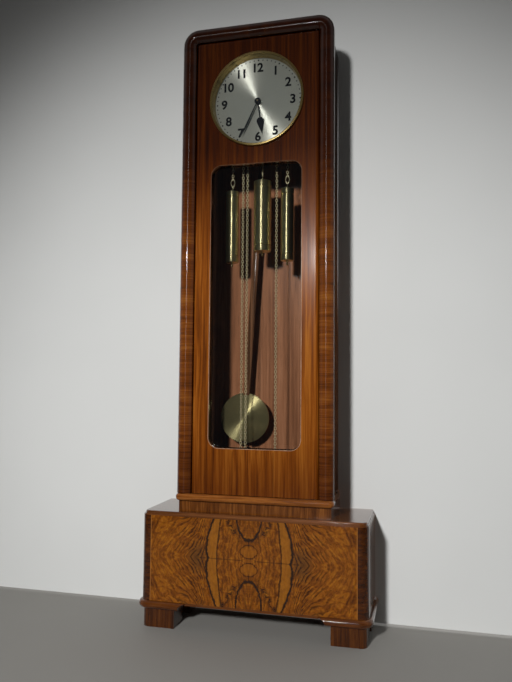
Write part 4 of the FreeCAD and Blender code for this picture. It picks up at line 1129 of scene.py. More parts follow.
@dataclass(frozen=True)
class Backdrop:
    """Matt wall or floor of the studio, clear from behind and for light close behind the clock."""

    name: str
    colour: Colour
    rough: float = 0.8
    near: float = 30.0 * MM

    def make(self) -> Material:
        """Builds the material.

        Returns:
            The material.
        """
        shade = Shade(self.name)
        faded = tuple(part * 0.95 for part in self.colour)
        cloud = shade.place.noise(1.4, 3).level(0.3, 0.7)
        shade.set(base_color=shade.mix(cloud, self.colour, faded), roughness=self.rough,
                  specular_ior_level=0.2)
        close = shade.term("LightPath", out="Ray Length").below(self.near)
        shadow = shade.term("LightPath", out="Is Shadow Ray") * close
        share = shade.term("NewGeometry", out="Backfacing").most(shadow)
        matt = Term(shade, shade.shader.outputs[0])
        shade.cover(shade.term("MixShader", share, matt, shade.term("BsdfTransparent")))
        return shade.material


# Sub-assemblies
SIDE_WALNUT = Wood((0.035, 0.0090, 0.0012), (0.100, 0.0270, 0.0035), (0.180, 0.0560, 0.0085))


@dataclass
class Case:
    """Base, trunk and frame, all CAD nodes with finishes of their own."""

    skin: float = 3.0 * MM

    def dress(self) -> None:
        """Gives each wooden piece the finish and the grain that it has."""
        dress_nodes(Burr("burr_front").make(), "base_front")
        dress_nodes(CrossGrain("cross_grain_frame").make(), "frame_left", "frame_right", "frame_top")
        for veneer, nodes in (*self.base(), *self.trunk()):
            dress_nodes(veneer.make(), *nodes)
        log.info("case dressed")

    def base(self) -> list[tuple[Veneer, tuple[str, ...]]]:
        """Veneers of the base, its moulding and feet.

        Returns:
            Each veneer with the CAD nodes that it goes on.
        """
        banding = Wood((0.014, 0.0034, 0.0005), (0.044, 0.0105, 0.0012), (0.090, 0.0250, 0.0035))
        top = Wood((0.045, 0.0130, 0.0030), (0.110, 0.0350, 0.0080), (0.180, 0.0650, 0.0170))
        moulding = Wood((0.034, 0.0090, 0.0012), (0.088, 0.0240, 0.0034), (0.155, 0.0520, 0.0085))
        feet = Wood((0.018, 0.0042, 0.0006), (0.053, 0.0135, 0.0016), (0.105, 0.0310, 0.0042))
        return [
            (Veneer("corner_banding", Grain.ACROSS, banding, 6.0 * MM, 60.0 * MM),
             ("base_corner_left", "base_corner_right")),
            (Veneer("base_side_veneer", Grain.UP, SIDE_WALNUT, 9.0 * MM, 300.0 * MM),
             ("base_side_left", "base_side_right")),
            (Veneer("base_top_veneer", Grain.ACROSS, top, 8.0 * MM, 220.0 * MM, polish=1.0), ("base_top",)),
            (Veneer("moulding_walnut", Grain.ACROSS, moulding, 5.0 * MM, 90.0 * MM),
             ("plinth_moulding_left", "plinth_moulding_right", "base_bottom")),
            (Veneer("foot_walnut", Grain.UP, feet, 6.0 * MM, 120.0 * MM),
             ("foot_front_left", "foot_front_right", "foot_back_left", "foot_back_right")),
        ]

    def trunk(self) -> list[tuple[Veneer, tuple[str, ...]]]:
        """Veneers and woods of the trunk, its board, spacer and inside.

        Returns:
            Each veneer with the CAD nodes that it goes on.
        """
        board = Wood((0.075, 0.0210, 0.0030), (0.200, 0.0600, 0.0090), (0.330, 0.1250, 0.0230))
        spacer = Wood((0.035, 0.0090, 0.0012), (0.105, 0.0300, 0.0042), (0.210, 0.0730, 0.0120))
        inner = Wood((0.120, 0.0440, 0.0190), (0.260, 0.1080, 0.0520), (0.380, 0.1750, 0.0920))
        plain = Wood((0.060, 0.0300, 0.0140), (0.120, 0.0650, 0.0320), (0.180, 0.1050, 0.0560))
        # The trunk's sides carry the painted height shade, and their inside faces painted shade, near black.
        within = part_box("trunk_side_right")[1][0] - self.skin
        return [
            (Veneer("trunk_side_veneer", Grain.UP, SIDE_WALNUT, 9.0 * MM, 300.0 * MM, polish=0.03,
                    lustre=0.02, ages=True, shade_painted_within=within),
             ("trunk_side_left", "trunk_side_right", "trunk_top")),
            (Veneer("trunk_board_walnut", Grain.ACROSS, board, 5.0 * MM, 90.0 * MM), ("trunk_base_board",)),
            (Veneer("spacer_walnut", Grain.UP, spacer, 5.0 * MM, 80.0 * MM, shift=0.4), ("trunk_spacer",)),
            (Veneer("backboard_walnut", Grain.UP, inner, 11.0 * MM, 420.0 * MM, polish=0.2, shift=0.9),
             ("backboard",)),
            (Veneer("carcass_wood", Grain.ACROSS, plain, polish=0.0), ("base_back", "seatboard")),
        ]


@dataclass
class Door:
    """Door with its window, bead, glass and a pale edge round the window, whose pale colour is a painted
    highlight.
    """

    seams: Span = (-66.7 * MM, 61.4 * MM)
    corner_radius: float = 32.0 * MM
    corner_steps: int = 8
    edge_width: float = 1.9 * MM
    edge_depth: float = 0.4 * MM
    proud: float = 0.12 * MM
    glass_lap: float = 8.0 * MM

    def window_edge(self) -> Piece:
        """Pale edge round the window, coloured as a painted highlight: a rounded plane inset to a narrow
        ring.

        Returns:
            The ring.
        """
        low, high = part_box("window_glass")
        lap, both = self.glass_lap * 2, self.edge_width * 2
        obj = start(bpy.ops.mesh.primitive_plane_add, size=1)
        open_edit()
        widen(high[0] - low[0] - lap + both, high[2] - low[2] - lap + both)
        bpy.ops.mesh.bevel(affect="VERTICES", offset=self.corner_radius + self.edge_width,
                           segments=self.corner_steps)
        bpy.ops.mesh.select_all(action="SELECT")
        bpy.ops.mesh.inset(thickness=self.edge_width)
        bpy.ops.mesh.delete(type="FACE")
        bpy.ops.mesh.select_all(action="SELECT")
        extrude(-self.edge_depth)
        close_edit()
        centre = middle("window_glass")
        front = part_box("door_panel")[0][1] - self.proud
        stand = Matrix.Translation((centre.x, front, centre.z)) @ Matrix.Rotation(QUARTER_TURN, 4, "X")
        return settle(obj, "window_edge", stand)

    def build(self) -> None:
        """Adds the pale edge round the window, its colour a painted highlight with the painted height shade.
        """
        # Pale wood as a painted highlight along the window's edge.
        pale = Wood((0.240, 0.1200, 0.0700), (0.380, 0.2200, 0.1400), (0.520, 0.3600, 0.2500))
        wear_and_highlight = Veneer("rubbed_edge", Grain.UP, pale, 14.0 * MM, 60.0 * MM, ages=True)
        fit(self.window_edge(), wear_and_highlight.make(), "door")

    def dress(self) -> None:
        """Gives the door its upright veneer, and its window a dark bead and glass."""
        wood = Wood((0.062, 0.0130, 0.0012), (0.215, 0.0560, 0.0042), (0.390, 0.1350, 0.0165))
        # The door's veneer carries the painted height shade.
        veneer = Veneer("door_veneer", Grain.UP, wood, 6.5 * MM, 340.0 * MM, seams=self.seams,
                        seam_top=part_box("window_glass")[0][2], ages=True)
        dress_nodes(veneer.make(), "door_panel")
        black = Wood((0.006, 0.0030, 0.0020), (0.012, 0.0060, 0.0040), (0.024, 0.0120, 0.0080))
        dress_nodes(Veneer("bead_wood", Grain.UP, black, polish=0.2).make(), "window_bead")
        dress_nodes(ClearGlass("clear_glass").make(), "window_glass", "dial_glass")
        dress_nodes(Metal("hinge_steel", (0.42, 0.42, 0.43), 0.35).make(), "hinge_pins")
        log.info("door dressed")


@dataclass
class Dial:
    """Silvered dial with plain figures and minute dots, its bezel and the hands."""

    figure_circle: float = 111.5 * MM
    figure_height: float = 31.0 * MM
    figure_weight: float = 1.3 * MM
    capital_share: float = 0.72
    spacing_share: float = 0.95
    curve_steps: int = 6
    print_depth: float = 0.12 * MM
    dot_circle: float = 135.0 * MM
    small_dot: float = 1.9 * MM
    large_dot: float = 2.6 * MM
    dot_sides: int = 16
    hours: int = 12
    minutes: int = 60
    lip_round: float = 2.6 * MM
    lip_steps: int = 5
    lip_bevel: float = 0.5 * MM
    throat: float = 147.5 * MM
    sight_step: float = 4.0 * MM
    bore_step: float = 2.0 * MM
    bezel_sides: int = 160
    centre: Vector = field(default_factory=lambda: middle("dial_plate"))
    face: float = field(default_factory=lambda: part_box("dial_plate")[0][1])

    def spot(self, number: int, count: int, circle: float) -> Vector:
        """Place of one mark out of a full round of marks, on the dial's face.

        Args:
            number: Which mark it is.
            count: How many there are.
            circle: Radius of their circle.

        Returns:
            The place.
        """
        angle = FULL_TURN * number / count
        x, z = self.centre.x + circle * math.sin(angle), self.centre.z + circle * math.cos(angle)
        return Vector((x, self.face, z))

    def figure(self, hour: int) -> Piece:
        """One upright hour figure, a little raised from the dial.

        Args:
            hour: The hour.

        Returns:
            The figure.
        """
        text = start(bpy.ops.object.text_add).data
        text.body = str(hour)
        text.align_x = "CENTER"
        text.align_y = "CENTER"
        text.size = (self.figure_height - self.figure_weight * 2) / self.capital_share
        text.offset = self.figure_weight
        text.extrude = self.print_depth
        text.space_character = self.spacing_share
        text.resolution_u = self.curve_steps
        bpy.ops.object.convert(target="MESH")
        obj = bpy.context.object
        bpy.ops.object.origin_set(type="ORIGIN_GEOMETRY", center="BOUNDS")
        obj.location = (0, 0, 0)
        spot = Matrix.Translation(self.spot(hour, self.hours, self.figure_circle))
        return settle(obj, f"figure_{hour}", spot @ Matrix.Rotation(QUARTER_TURN, 4, "X"), smooth=False)

    def dot(self, minute: int) -> Piece:
        """One minute dot, larger at the hours.

        Args:
            minute: The minute.

        Returns:
            The dot.
        """
        radius = self.small_dot if minute % (self.minutes // self.hours) else self.large_dot
        spot = self.spot(minute, self.minutes, self.dot_circle)
        spot.y -= self.print_depth
        profile = ((radius, 0), (radius, self.print_depth))
        return turned(f"dot_{minute}", profile, facing(spot), self.dot_sides)

    def bezel(self) -> Piece:
        """Turned bezel with a rounded lip, the same sizes as the CAD ring.

        Returns:
            The bezel.
        """
        low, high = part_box("dial_bezel")
        glass_front, glass_back = (corner[1] - low[1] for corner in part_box("dial_glass"))
        outer, bore = half_width("dial_bezel"), half_width("dial_glass")
        lip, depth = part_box("door_panel")[0][1] - low[1], high[1] - low[1]
        rest = bore - self.bore_step
        profile = []
        for step in range(self.lip_steps + 1):
            angle = QUARTER_TURN * step / self.lip_steps
            inset, rise = (self.lip_round * (1 - turn(angle)) for turn in (math.sin, math.cos))
            profile.append((outer - inset, rise))
        profile += [(outer, lip), (self.throat, lip), (self.throat, depth), (bore - self.sight_step, depth),
                    (rest, glass_back), (bore, glass_back), (bore, glass_front), (rest, glass_front),
                    (rest, self.lip_bevel), (rest + self.lip_bevel, 0)]
        front = Vector((self.centre.x, low[1], self.centre.z))
        return turned("turned_bezel", profile, facing(front), self.bezel_sides, ring=True)

    def build(self) -> None:
        """Makes the bezel and the figures and dots that are printed on the dial."""
        brass = Metal("bezel_brass", (0.44, 0.32, 0.12), 0.28, 0.5, self.centre, wear=0.06, scored=0.0)
        fit(self.bezel(), brass.make(), "door", "dial_bezel")
        ink = Paint("dial_ink", (0.006, 0.006, 0.007), 0.5).make()
        figures = join("dial_figures", [self.figure(hour) for hour in range(1, self.hours + 1)])
        dots = join("minute_dots", [self.dot(minute) for minute in range(self.minutes)])
        for piece in (figures, dots):
            fit(piece, ink, "case")
        log.info("dial printed with %d figures and %d dots", self.hours, self.minutes)

    def dress(self) -> None:
        """Gives the dial and the hands their metals."""
        silver = Metal("silvered_brass", (0.72, 0.71, 0.62), 0.35, 1.0, self.centre, wear=0.04, bare=0.76)
        dress_nodes(silver.make(), "dial_plate")
        dress_nodes(Paint("blued_steel", (0.008, 0.008, 0.010), 0.35).make(), "hour_hand", "minute_hand")
        dress_nodes(Metal("nut_steel", (0.10, 0.10, 0.10), 0.4).make(), "hand_nut")
        log.info("dial dressed")


@dataclass
class Movement:
    """Plates, wheels and cock behind the dial; the CAD discs get rims of teeth."""

    thickness: float = 1.5 * MM
    rim_width: float = 2.4 * MM
    tooth_foot: float = 0.48 * MM
    tooth_tip: float = 0.6 * MM
    rim_share: float = 0.98

    def rim(self, node: str, body: str, teeth: int, brass: Material) -> None:
        """Adds a ring of teeth round the disc of one wheel.

        Args:
            node: The wheel.
            body: The body that it turns with.
            teeth: Number of teeth.
            brass: Its finish.
        """
        outer, centre = half_width(node), middle(node)
        centre.y = min(point.co.y for point in frame["nodes"][node].data.vertices
                       if math.hypot(point.co.x - centre.x, point.co.z - centre.z) > outer * self.rim_share)
        radii = (outer - self.rim_width, outer - self.tooth_foot, outer + self.tooth_tip)
        fit(toothed_ring(f"{node}_teeth", teeth, radii, self.thickness, facing(centre)), brass, body)

    def build(self) -> None:
        """Adds the teeth and gives the movement its brass and steel."""
        brass = Metal("clock_brass", (0.74, 0.58, 0.28), 0.3, wear=0.1).make()
        wheels = (("great_wheel", "great", 96), ("centre_wheel", "minute", 64), ("third_wheel", "third", 60),
                  ("minute_wheel", "motion", 48), ("hour_wheel", "hour", 56))
        dress_nodes(brass, "plate_front", "plate_back", "back_cock", "escape_wheel")
        dress_nodes(brass, *(f"chain_wheel_{side.value}" for side in Side), *(node for node, _, _ in wheels))
        dress_nodes(Metal("arbor_steel", (0.45, 0.45, 0.47), 0.3).make(), "anchor", "suspension_spring")
        for node, body, teeth in wheels:
            self.rim(node, body, teeth, brass)
        log.info("movement dressed, %d wheels toothed", len(wheels))


@dataclass
class Chain:
    """Chain of real links, straight or over a wheel."""

    wire: float = 0.95 * MM
    inside: float = 8.0 * MM
    half_width: float = 3.2 * MM
    path_steps: int = 12
    wire_steps: int = 5

    def link(self) -> Piece:
        """One long link about the origin: a ring drawn out along Z.

        Returns:
            The link.
        """
        obj = start(bpy.ops.mesh.primitive_torus_add, major_radius=self.half_width, minor_radius=self.wire,
                    major_segments=self.path_steps, minor_segments=self.wire_steps)
        stretch = self.inside / 2 + self.wire - self.half_width
        for sign in (-1, 1):
            select_points(obj, lambda point, sign=sign: point.x * sign > 0)
            bpy.ops.transform.translate(value=(stretch * sign, 0, 0))
        bpy.ops.object.mode_set(mode="OBJECT")
        return settle(obj, "link", Matrix.Rotation(QUARTER_TURN, 4, "Y"))

    def run(self, name: str, foot: Vector, high: float) -> Piece:
        """Straight run up from a point, its links turned by a quarter in turn.

        Args:
            name: Name of the piece.
            foot: Its lower end.
            high: Height of its upper end.

        Returns:
            The run.
        """
        pairs = round((high - foot.z) / self.inside / 2)
        step = (high - foot.z) / (pairs * 2)
        first = self.link()
        first.data.transform(Matrix.Translation((0, 0, step / 2)))
        second = copy_of(first, Matrix.Translation((0, 0, step)) @ Matrix.Rotation(QUARTER_TURN, 4, "Z"))
        obj = join(name, [first, second])
        add_modifier(obj, "ARRAY", count=pairs, use_relative_offset=False, use_constant_offset=True,
                     constant_offset_displace=(0, 0, step * 2))
        return settle(obj, name, Matrix.Translation(foot))

    def over_wheel(self, name: str, centre: Vector, radius: float) -> Piece:
        """Links round the upper half of a chain wheel.

        Args:
            name: Name of the piece.
            centre: Middle of the wheel.
            radius: Distance of the chain from it.

        Returns:
            The half turn of chain.
        """
        count = round(math.pi * radius / self.inside)
        link = self.link()
        parts = []
        for number in range(count):
            turn = Matrix.Rotation(-math.pi * (number + 0.5) / count, 4, "Y")
            twist = Matrix.Rotation(QUARTER_TURN * (number % 2), 4, "Z")
            parts.append(copy_of(link, turn @ Matrix.Translation((radius, 0, 0)) @ twist))
        bpy.data.objects.remove(link)
        return settle(join(name, parts), name, Matrix.Translation(centre))


@dataclass
class Train:
    """One train's weight, hook, chain and end ring."""

    side: Side
    brass: Material
    chain_brass: Material
    wire: float = 1.6 * MM
    shell_sides: int = 72
    seam_share: float = 0.09
    seam_depth: float = 2.0 * MM
    seam_width: float = 4.0 * MM
    seam_floor_share: float = 0.4
    cap_round: float = 2.2 * MM
    cap_shares: tuple[Span, ...] = ((1.0, 0.2), (0.3, 0.45), (0.0, 1.3))
    cap_flat_share: float = 0.7
    tip_shares: tuple[Span, ...] = ((0.8 * MM, 1.0), (2.6 * MM, 0.93), (3.5 * MM, 0.72), (2.8 * MM, 0.50),
                                    (1.9 * MM, 0.36), (2.4 * MM, 0.24), (5.5 * MM, 0.12), (6.5 * MM, 0.0))
    stem_steps: tuple[Span, ...] = ((5.0 * MM, 0.01 * MM), (4.4 * MM, 2.4 * MM), (1.6 * MM, 3.0 * MM))
    stem: float = 1.5 * MM
    shell_share: float = 0.8
    loop_clear: float = 4.0 * MM
    hook_width_share: float = 0.52
    hook_side_shares: Place = (0.2, 0.92, 0.1)
    hook_bend_shares: Span = (0.07, 0.05)
    chain: Chain = field(default_factory=Chain)

    def heights(self) -> Place:
        """Heights on the CAD weight.

        Returns:
            The bottom and top of its shell, and the foot of its wire loop.
        """
        node = f"weight_{self.side.value}"
        points = [point.co for point in frame["nodes"][node].data.vertices]
        centre, edge = middle(node), half_width(node) * self.shell_share
        shell = [point.z for point in points if math.hypot(point.x - centre.x, point.y - centre.y) > edge]
        loop = [point.z for point in points if point.z > max(shell) + self.loop_clear]
        return min(shell), max(shell), min(loop)

    def weight(self) -> Piece:
        """Brass weight with a seam near each end, domed caps, a turned tip and its stem.

        Returns:
            The weight.
        """
        node = f"weight_{self.side.value}"
        bottom, top, loop = self.heights()
        radius, length, tip = half_width(node), top - bottom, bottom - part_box(node)[0][2]
        cap = [(radius * self.cap_flat_share, 0.0)]
        cap += [(radius - self.cap_round * inset, self.cap_round * rise) for inset, rise in self.cap_shares]
        profile = [(step, -tip * share) for step, share in self.tip_shares] + cap
        half, floor = self.seam_width / 2, radius - self.seam_depth
        for share in (self.seam_share, 1 - self.seam_share):
            seam, foot = length * share, half * self.seam_floor_share
            profile += [(radius, seam - half), (floor, seam - foot)]
            profile += [(floor, seam + foot), (radius, seam + half)]
        profile += [(step, length - rise) for step, rise in reversed(cap)]
        profile += [(step, length + rise) for step, rise in self.stem_steps] + [(self.stem, loop - bottom)]
        centre = middle(node)
        place = Matrix.Translation((centre.x, centre.y, bottom))
        return turned(f"brass_weight_{self.side.value}", profile, place, self.shell_sides)

    def hook(self) -> Piece:
        """Diamond of round wire, drawn from a ring whose four sides are straightened.

        Returns:
            The hook.
        """
        node = f"weight_{self.side.value}"
        foot = self.heights()[2]
        centre = middle(node)
        tall = (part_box(node)[1][2] - foot) / 2 - self.wire
        obj = start(bpy.ops.mesh.primitive_torus_add, major_radius=tall, minor_radius=self.wire,
                    major_segments=32, minor_segments=10)
        open_edit()
        widen(1, self.hook_width_share)
        near, far, side = (share * tall for share in self.hook_side_shares)
        bend_x, bend_y = (share * tall for share in self.hook_bend_shares)
        for x, y in ((-1, -1), (-1, 1), (1, -1), (1, 1)):
            select_points(obj, lambda point, x=x, y=y: near < point.x * x < far and point.y * y > side)
            bpy.ops.transform.translate(value=(-bend_x * x, -bend_y * y, 0))
        bpy.ops.object.mode_set(mode="OBJECT")
        turn = Matrix.Rotation(QUARTER_TURN, 4, "Y")
        if self.side is not Side.MIDDLE:
            turn = Matrix.Rotation(QUARTER_TURN, 4, "Z") @ turn
        hang = Matrix.Translation((centre.x, centre.y, foot + tall + self.wire))
        return settle(obj, f"{self.side.value}_hook", hang @ turn)

    def build(self) -> None:
        """Makes the weight with its hook, both chain runs, the half turn and the end ring."""
        name = self.side.value
        fit(self.weight(), self.brass, f"load_{name}", f"weight_{name}")
        fit(self.hook(), self.chain_brass, f"load_{name}")
        foot = middle(f"chain_loaded_{name}")
        foot.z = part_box(f"chain_loaded_{name}")[0][2]
        self.chain_run(f"loaded_links_{name}", f"chain_loaded_{name}", foot,
                       self.chain.inside / 2)
        self.free_run(name)
        self.half_turn(name)
        log.info("%s train built", name)

    def chain_run(self, name: str, node: str, foot: Vector, lap: float = 0.0) -> None:
        """Adds a straight run of chain between the wheel and its moving end.

        Args:
            name: Name of the piece.
            node: The CAD node that it stands for.
            foot: Its lower end.
            lap: How far it reaches below that end.
        """
        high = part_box(node)[1][2]
        run = self.chain.run(name, foot - Vector((0, 0, lap)), high)
        fit(run, self.chain_brass, node=node)
        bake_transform(run)

    def free_run(self, name: str) -> None:
        """Free run of chain down to the ring that the hand pulls.

        Args:
            name: The train's side.
        """
        node = f"chain_free_{name}"
        outer, centre = half_width(node), middle(node)
        centre.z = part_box(node)[0][2] + outer
        foot = centre + Vector((0, 0, outer - self.wire * 2))
        self.chain_run(f"free_links_{name}", node, foot)
        ring = start(bpy.ops.mesh.primitive_torus_add, major_radius=outer - self.wire, minor_radius=self.wire,
                     major_segments=32, minor_segments=12)
        fit(settle(ring, f"end_ring_{name}", facing(centre)), self.brass, f"free_{name}", node)

    def half_turn(self, name: str) -> None:
        """Half turn of chain that lies over its wheel.

        Args:
            name: The train's side.
        """
        loaded, free = middle(f"chain_loaded_{name}"), middle(f"chain_free_{name}")
        centre = Vector(((loaded.x + free.x) / 2, loaded.y, middle(f"chain_wheel_{name}").z))
        over = self.chain.over_wheel(f"links_over_wheel_{name}", centre, abs(loaded.x - free.x) / 2)
        fit(over, self.chain_brass, "case")


@dataclass
class Pendulum:
    """Lens-shaped bob, its knurled nut and the varnished rod, made hanging and then swung."""

    swing: float = math.radians(3.5)
    rings: int = 14
    lens_sides: int = 128
    eye_share: float = 0.02
    rim_share: float = 0.97
    edge: float = 2.5 * MM
    edge_share: float = 0.6
    channel_gap: float = 0.2 * MM
    channel_share: float = 0.1
    broad: float = 8.0 * MM
    rod_sides: int = 48
    end_rounding: float = 0.6 * MM
    slot_half: float = 1.6 * MM
    slot_low: float = -102.2 * MM
    slot_high: float = -89.8 * MM
    overrun: float = 1.0 * MM
    thread_pitch: float = 1.0 * MM
    thread_depth: float = 0.3 * MM
    thread_sides: int = 24
    thread_clear: float = 1.0 * MM
    knurls: int = 36
    knurl_share: float = 0.93
    nut_bore: float = 2.6 * MM
    pivot: Vector = field(default_factory=lambda: joint_place("pendulum_swing"))

    def swung(self) -> Matrix:
        """Takes a piece that hangs straight down from the origin to its place."""
        return Matrix.Translation(self.pivot) @ Matrix.Rotation(self.swing, 4, "Y")

    def points(self, node: str) -> list[Vector]:
        """Points of a CAD node as they would hang straight down from the pivot."""
        back = self.swung().inverted()
        return [back @ point.co for point in frame["nodes"][node].data.vertices]

    def hanging(self, node: str, beyond: float = 0.0) -> tuple[Vector, Vector]:
        """Box of a CAD node's points as they would hang straight down from the pivot.

        Args:
            node: The node.
            beyond: Leaves out points nearer than this to the middle line.

        Returns:
            Its lowest and highest corner.
        """
        columns = list(zip(*(point for point in self.points(node) if abs(point.x) >= beyond)))
        return Vector([min(column) for column in columns]), Vector([max(column) for column in columns])

    def lens(self) -> Piece:
        """Smooth lens with a channel for the rod at its back.

        Returns:
            The bob.
        """
        low, high = self.hanging("pendulum_bob")
        radius, dome = (high.x - low.x) / 2, (high.y - low.y) / 2 - self.edge
        reach = self.rim_share - self.eye_share
        steps = [self.eye_share + reach * math.sin(QUARTER_TURN * step / self.rings)
                 for step in range(self.rings + 1)]
        front = [(radius * share, -self.edge - dome * (1 - share * share)) for share in steps]
        front.append((radius, -self.edge * self.edge_share))
        back = [(step, -height) for step, height in reversed(front)]
        obj = turned("lens_bob", front + back, facing((low + high) / 2), self.lens_sides)
        rod_low, rod_high = self.hanging("pendulum_rod", self.broad)
        gap, past = self.channel_gap, self.channel_share
        cut_block(obj, Vector((rod_low.x - gap, rod_low.y - gap, low.z * (1 + past))),
                  Vector((rod_high.x + gap, high.y + (high.y - low.y) / 2, high.z * (1 - past))))
        return settle(obj, "lens_bob", self.swung())

    def rod(self) -> Piece:
        """Varnished rod of oval section with its slot for the crutch.

        Returns:
            The rod.
        """
        low, high = self.hanging("pendulum_rod", self.broad)
        obj = start(bpy.ops.mesh.primitive_cylinder_add, vertices=self.rod_sides, radius=0.5, depth=1)
        obj.scale = high - low
        obj.location = (low + high) / 2
        settle(obj, "varnished_rod", smooth=False)
        add_modifier(obj, "BEVEL", width=self.end_rounding, segments=2, limit_method="ANGLE",
                     angle_limit=math.radians(60))
        cut_block(obj, Vector((-self.slot_half, low.y - self.overrun, self.slot_low)),
                  Vector((self.slot_half, high.y + self.overrun, self.slot_high)))
        return settle(obj, "varnished_rod", self.swung())

    def thread(self) -> Piece:
        """Threaded steel end that the nut turns on.

        Returns:
            The thread.
        """
        low, _ = self.hanging("pendulum_rod")
        wide, _ = self.hanging("pendulum_rod", self.broad)
        below = wide.z - self.thread_clear
        radius = max(point.x for point in self.points("pendulum_rod") if point.z < below)
        root = radius - self.thread_depth
        profile = [(root, low.z)]
        for turn in range(round((wide.z - low.z) / self.thread_pitch)):
            height = low.z + self.thread_pitch * (turn + 0.5)
            profile += [(radius, height), (root, height + self.thread_pitch / 2)]
        return turned("rod_thread", profile, self.swung(), self.thread_sides)

    def nut(self) -> Piece:
        """Knurled nut under the bob.

        Returns:
            The nut.
        """
        low, high = self.hanging("rating_nut")
        centre, radius = (low + high) / 2, (high.x - low.x) / 2
        radii = (self.nut_bore, radius * self.knurl_share, radius)
        place = self.swung() @ Matrix.Translation((centre.x, centre.y, low.z))
        return toothed_ring("knurled_nut", self.knurls, radii, high.z - low.z, place)

    def build(self) -> None:
        """Makes the bob, its nut and the rod, and gives them their finishes."""
        brass = Metal("bob_brass", (0.66, 0.57, 0.28), 0.36, 1.0, middle("pendulum_bob"), bare=0.93)
        fit(self.lens(), brass.make(), "pendulum", "pendulum_bob")
        knurled = Metal("nut_knurled_brass", (0.60, 0.48, 0.24), 0.3)
        fit(self.nut(), knurled.make(), "pendulum", "rating_nut")
        wood = Wood((0.060, 0.0220, 0.0090), (0.150, 0.0640, 0.0280), (0.260, 0.1300, 0.0650))
        varnish = Veneer("varnished_rod_wood", Grain.UP, wood, 4.0 * MM, polish=1.0, gloss=0.2)
        fit(self.rod(), varnish.make(), "pendulum", "pendulum_rod")
        steel = Metal("thread_steel", (0.40, 0.40, 0.42), 0.35)
        fit(self.thread(), steel.make(), "pendulum", "pendulum_rod")
        log.info("pendulum built")


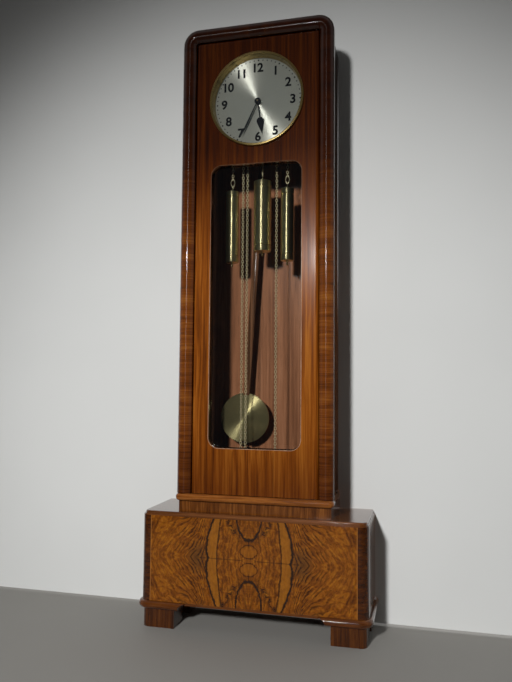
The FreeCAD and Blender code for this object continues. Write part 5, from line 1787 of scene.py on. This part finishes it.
@dataclass
class Studio:
    """Pale wall and floor, lamps, world and the camera at the photograph's place."""

    picture: tuple[int, int] = (512, 682)
    focal_px: float = 665.7865
    sensor_mm: float = 36.0
    camera_place: Place = (0.5125, -2.0458, 0.7462)
    yaw: float = math.radians(14.454)
    pitch: float = math.radians(3.603)
    roll: float = math.radians(0.497)
    key_place: Place = (-0.50, -4.65, 2.25)
    key_aim: Place = (0.0, 0.0, 0.40)
    key_power: float = 960.0
    key_angle: float = math.radians(48)
    key_radius: float = 0.20
    sheen_place: Place = (-0.39, -4.65, 2.00)
    sheen_power: float = 115.0
    sheen_radius: float = 0.06
    back_place: Place = (0.9, 3.2, 2.2)
    back_aim: Place = (0.0, 0.0, 0.9)
    back_power: float = 60.0
    back_size: float = 1.5
    sky_front: float = 0.035
    sky_side: float = 0.17
    sky_mirrored: float = 0.25
    sky_shown: float = 0.70
    front_edge: Span = (-0.9, -0.1)
    reach: float = 6.0
    wall_gap: float = 2.0 * MM

    def camera(self) -> None:
        """Sets the camera where the photograph was taken from."""
        data = bpy.data.cameras.new("photograph")
        data.sensor_width = self.sensor_mm
        data.lens = self.focal_px / max(self.picture) * self.sensor_mm
        obj = bpy.data.objects.new("photograph", data)
        bpy.context.collection.objects.link(obj)
        level = Vector((math.cos(self.yaw), math.sin(self.yaw), 0))
        ahead = Vector((-math.sin(self.yaw), math.cos(self.yaw), 0))
        sight = ahead * math.cos(self.pitch) + Vector((0, 0, math.sin(self.pitch)))
        rise = level.cross(sight)
        right = level * math.cos(self.roll) + rise * math.sin(self.roll)
        up = rise * math.cos(self.roll) - level * math.sin(self.roll)
        turn = Matrix((right, up, -sight)).transposed()
        obj.matrix_world = Matrix.Translation(self.camera_place) @ turn.to_4x4()
        bpy.context.scene.camera = obj

    def lamp(self, name: str, kind: str, place: Place, aim: Place, power: float, **settings: float) -> Piece:
        """Adds one lamp that points at a place.

        Args:
            name: Its name.
            kind: Blender's type of lamp.
            place: Where it stands.
            aim: What it points at.
            power: Its power in watts.
            settings: Its other properties.

        Returns:
            The lamp.
        """
        data = bpy.data.lights.new(name, kind)
        data.energy = power
        for key, value in settings.items():
            setattr(data, key, value)
        obj = bpy.data.objects.new(name, data)
        bpy.context.collection.objects.link(obj)
        obj.location = place
        obj.rotation_euler = (Vector(aim) - Vector(place)).to_track_quat("-Z", "Y").to_euler()
        return obj

    def surface(self, name: str, place: Place, turn: float, material: Material) -> None:
        """Adds a large flat piece of the studio.

        Args:
            name: Its name.
            place: Its middle.
            turn: How far it is tipped up about X.
            material: Its finish.
        """
        obj = start(bpy.ops.mesh.primitive_plane_add, size=self.reach * 2)
        obj.rotation_euler = (turn, 0, 0)
        obj.location = place
        settle(obj, name, smooth=False)
        dress(obj, material)
        obj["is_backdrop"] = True

    def sky(self) -> None:
        """Pale world, dim only for light and reflections from where the camera stands."""
        world = bpy.data.worlds.new("studio")
        world.use_nodes = True
        tree = Tree(world.node_tree)
        through = tree.term("LightPath", out="Is Transmission Ray")
        seen = tree.term("LightPath", out="Is Camera Ray").most(through)
        mirrored = tree.term("LightPath", out="Is Glossy Ray").level(0, 1, self.sky_side, self.sky_mirrored)
        pale = seen.level(0, 1, mirrored, self.sky_shown)
        beside = tree.term("TexCoord", out="Generated").parts()[1].level(*self.front_edge, ease="SMOOTHSTEP")
        strength = seen.most(beside).level(0, 1, self.sky_front, pale, ease="SMOOTHSTEP")
        tree.plug(world.node_tree.nodes["Background"], color=(1.0, 1.0, 1.0), strength=strength)
        bpy.context.scene.world = world

    def build(self) -> None:
        """Makes the studio."""
        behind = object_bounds()[1][1] + self.wall_gap
        wall = Backdrop("pale_wall", (0.66, 0.665, 0.65))
        floor = Backdrop("pale_floor", (0.29, 0.28, 0.26), 0.7)
        self.surface("wall", (0, behind, 0), QUARTER_TURN, wall.make())
        self.surface("floor", (0, 0, 0), 0.0, floor.make())
        key = self.lamp("key", "SPOT", self.key_place, self.key_aim, self.key_power,
                        shadow_soft_size=self.key_radius, spot_size=self.key_angle, spot_blend=1.0)
        key.visible_glossy = False
        sheen = self.lamp("sheen", "POINT", self.sheen_place, self.key_aim, self.sheen_power,
                          shadow_soft_size=self.sheen_radius)
        sheen.visible_diffuse = False
        self.lamp("back", "AREA", self.back_place, self.back_aim, self.back_power, size=self.back_size)
        self.sky()
        bpy.context.scene.view_settings.view_transform = "Standard"
        self.camera()
        log.info("studio ready")


def main() -> None:
    """Builds the clock's looks, sub-assembly by sub-assembly."""
    logging.basicConfig(level=logging.INFO, format="%(name)s: %(message)s")
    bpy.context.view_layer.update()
    Studio().build()
    Case().dress()
    for part in (Door(), Dial()):
        part.build()
        part.dress()
    Movement().build()
    weight_brass = Metal("weight_brass", (0.84, 0.74, 0.40), 0.32, 0.66, upright=True, wear=0.1, bare=0.99,
                         scored=0.0).make()
    chain_brass = Metal("chain_brass", (0.98, 0.84, 0.52), wear=0.15, bare=0.55).make()
    for side in Side:
        Train(side, weight_brass, chain_brass).build()
    Pendulum().build()


if __name__ == "__main__":
    main()
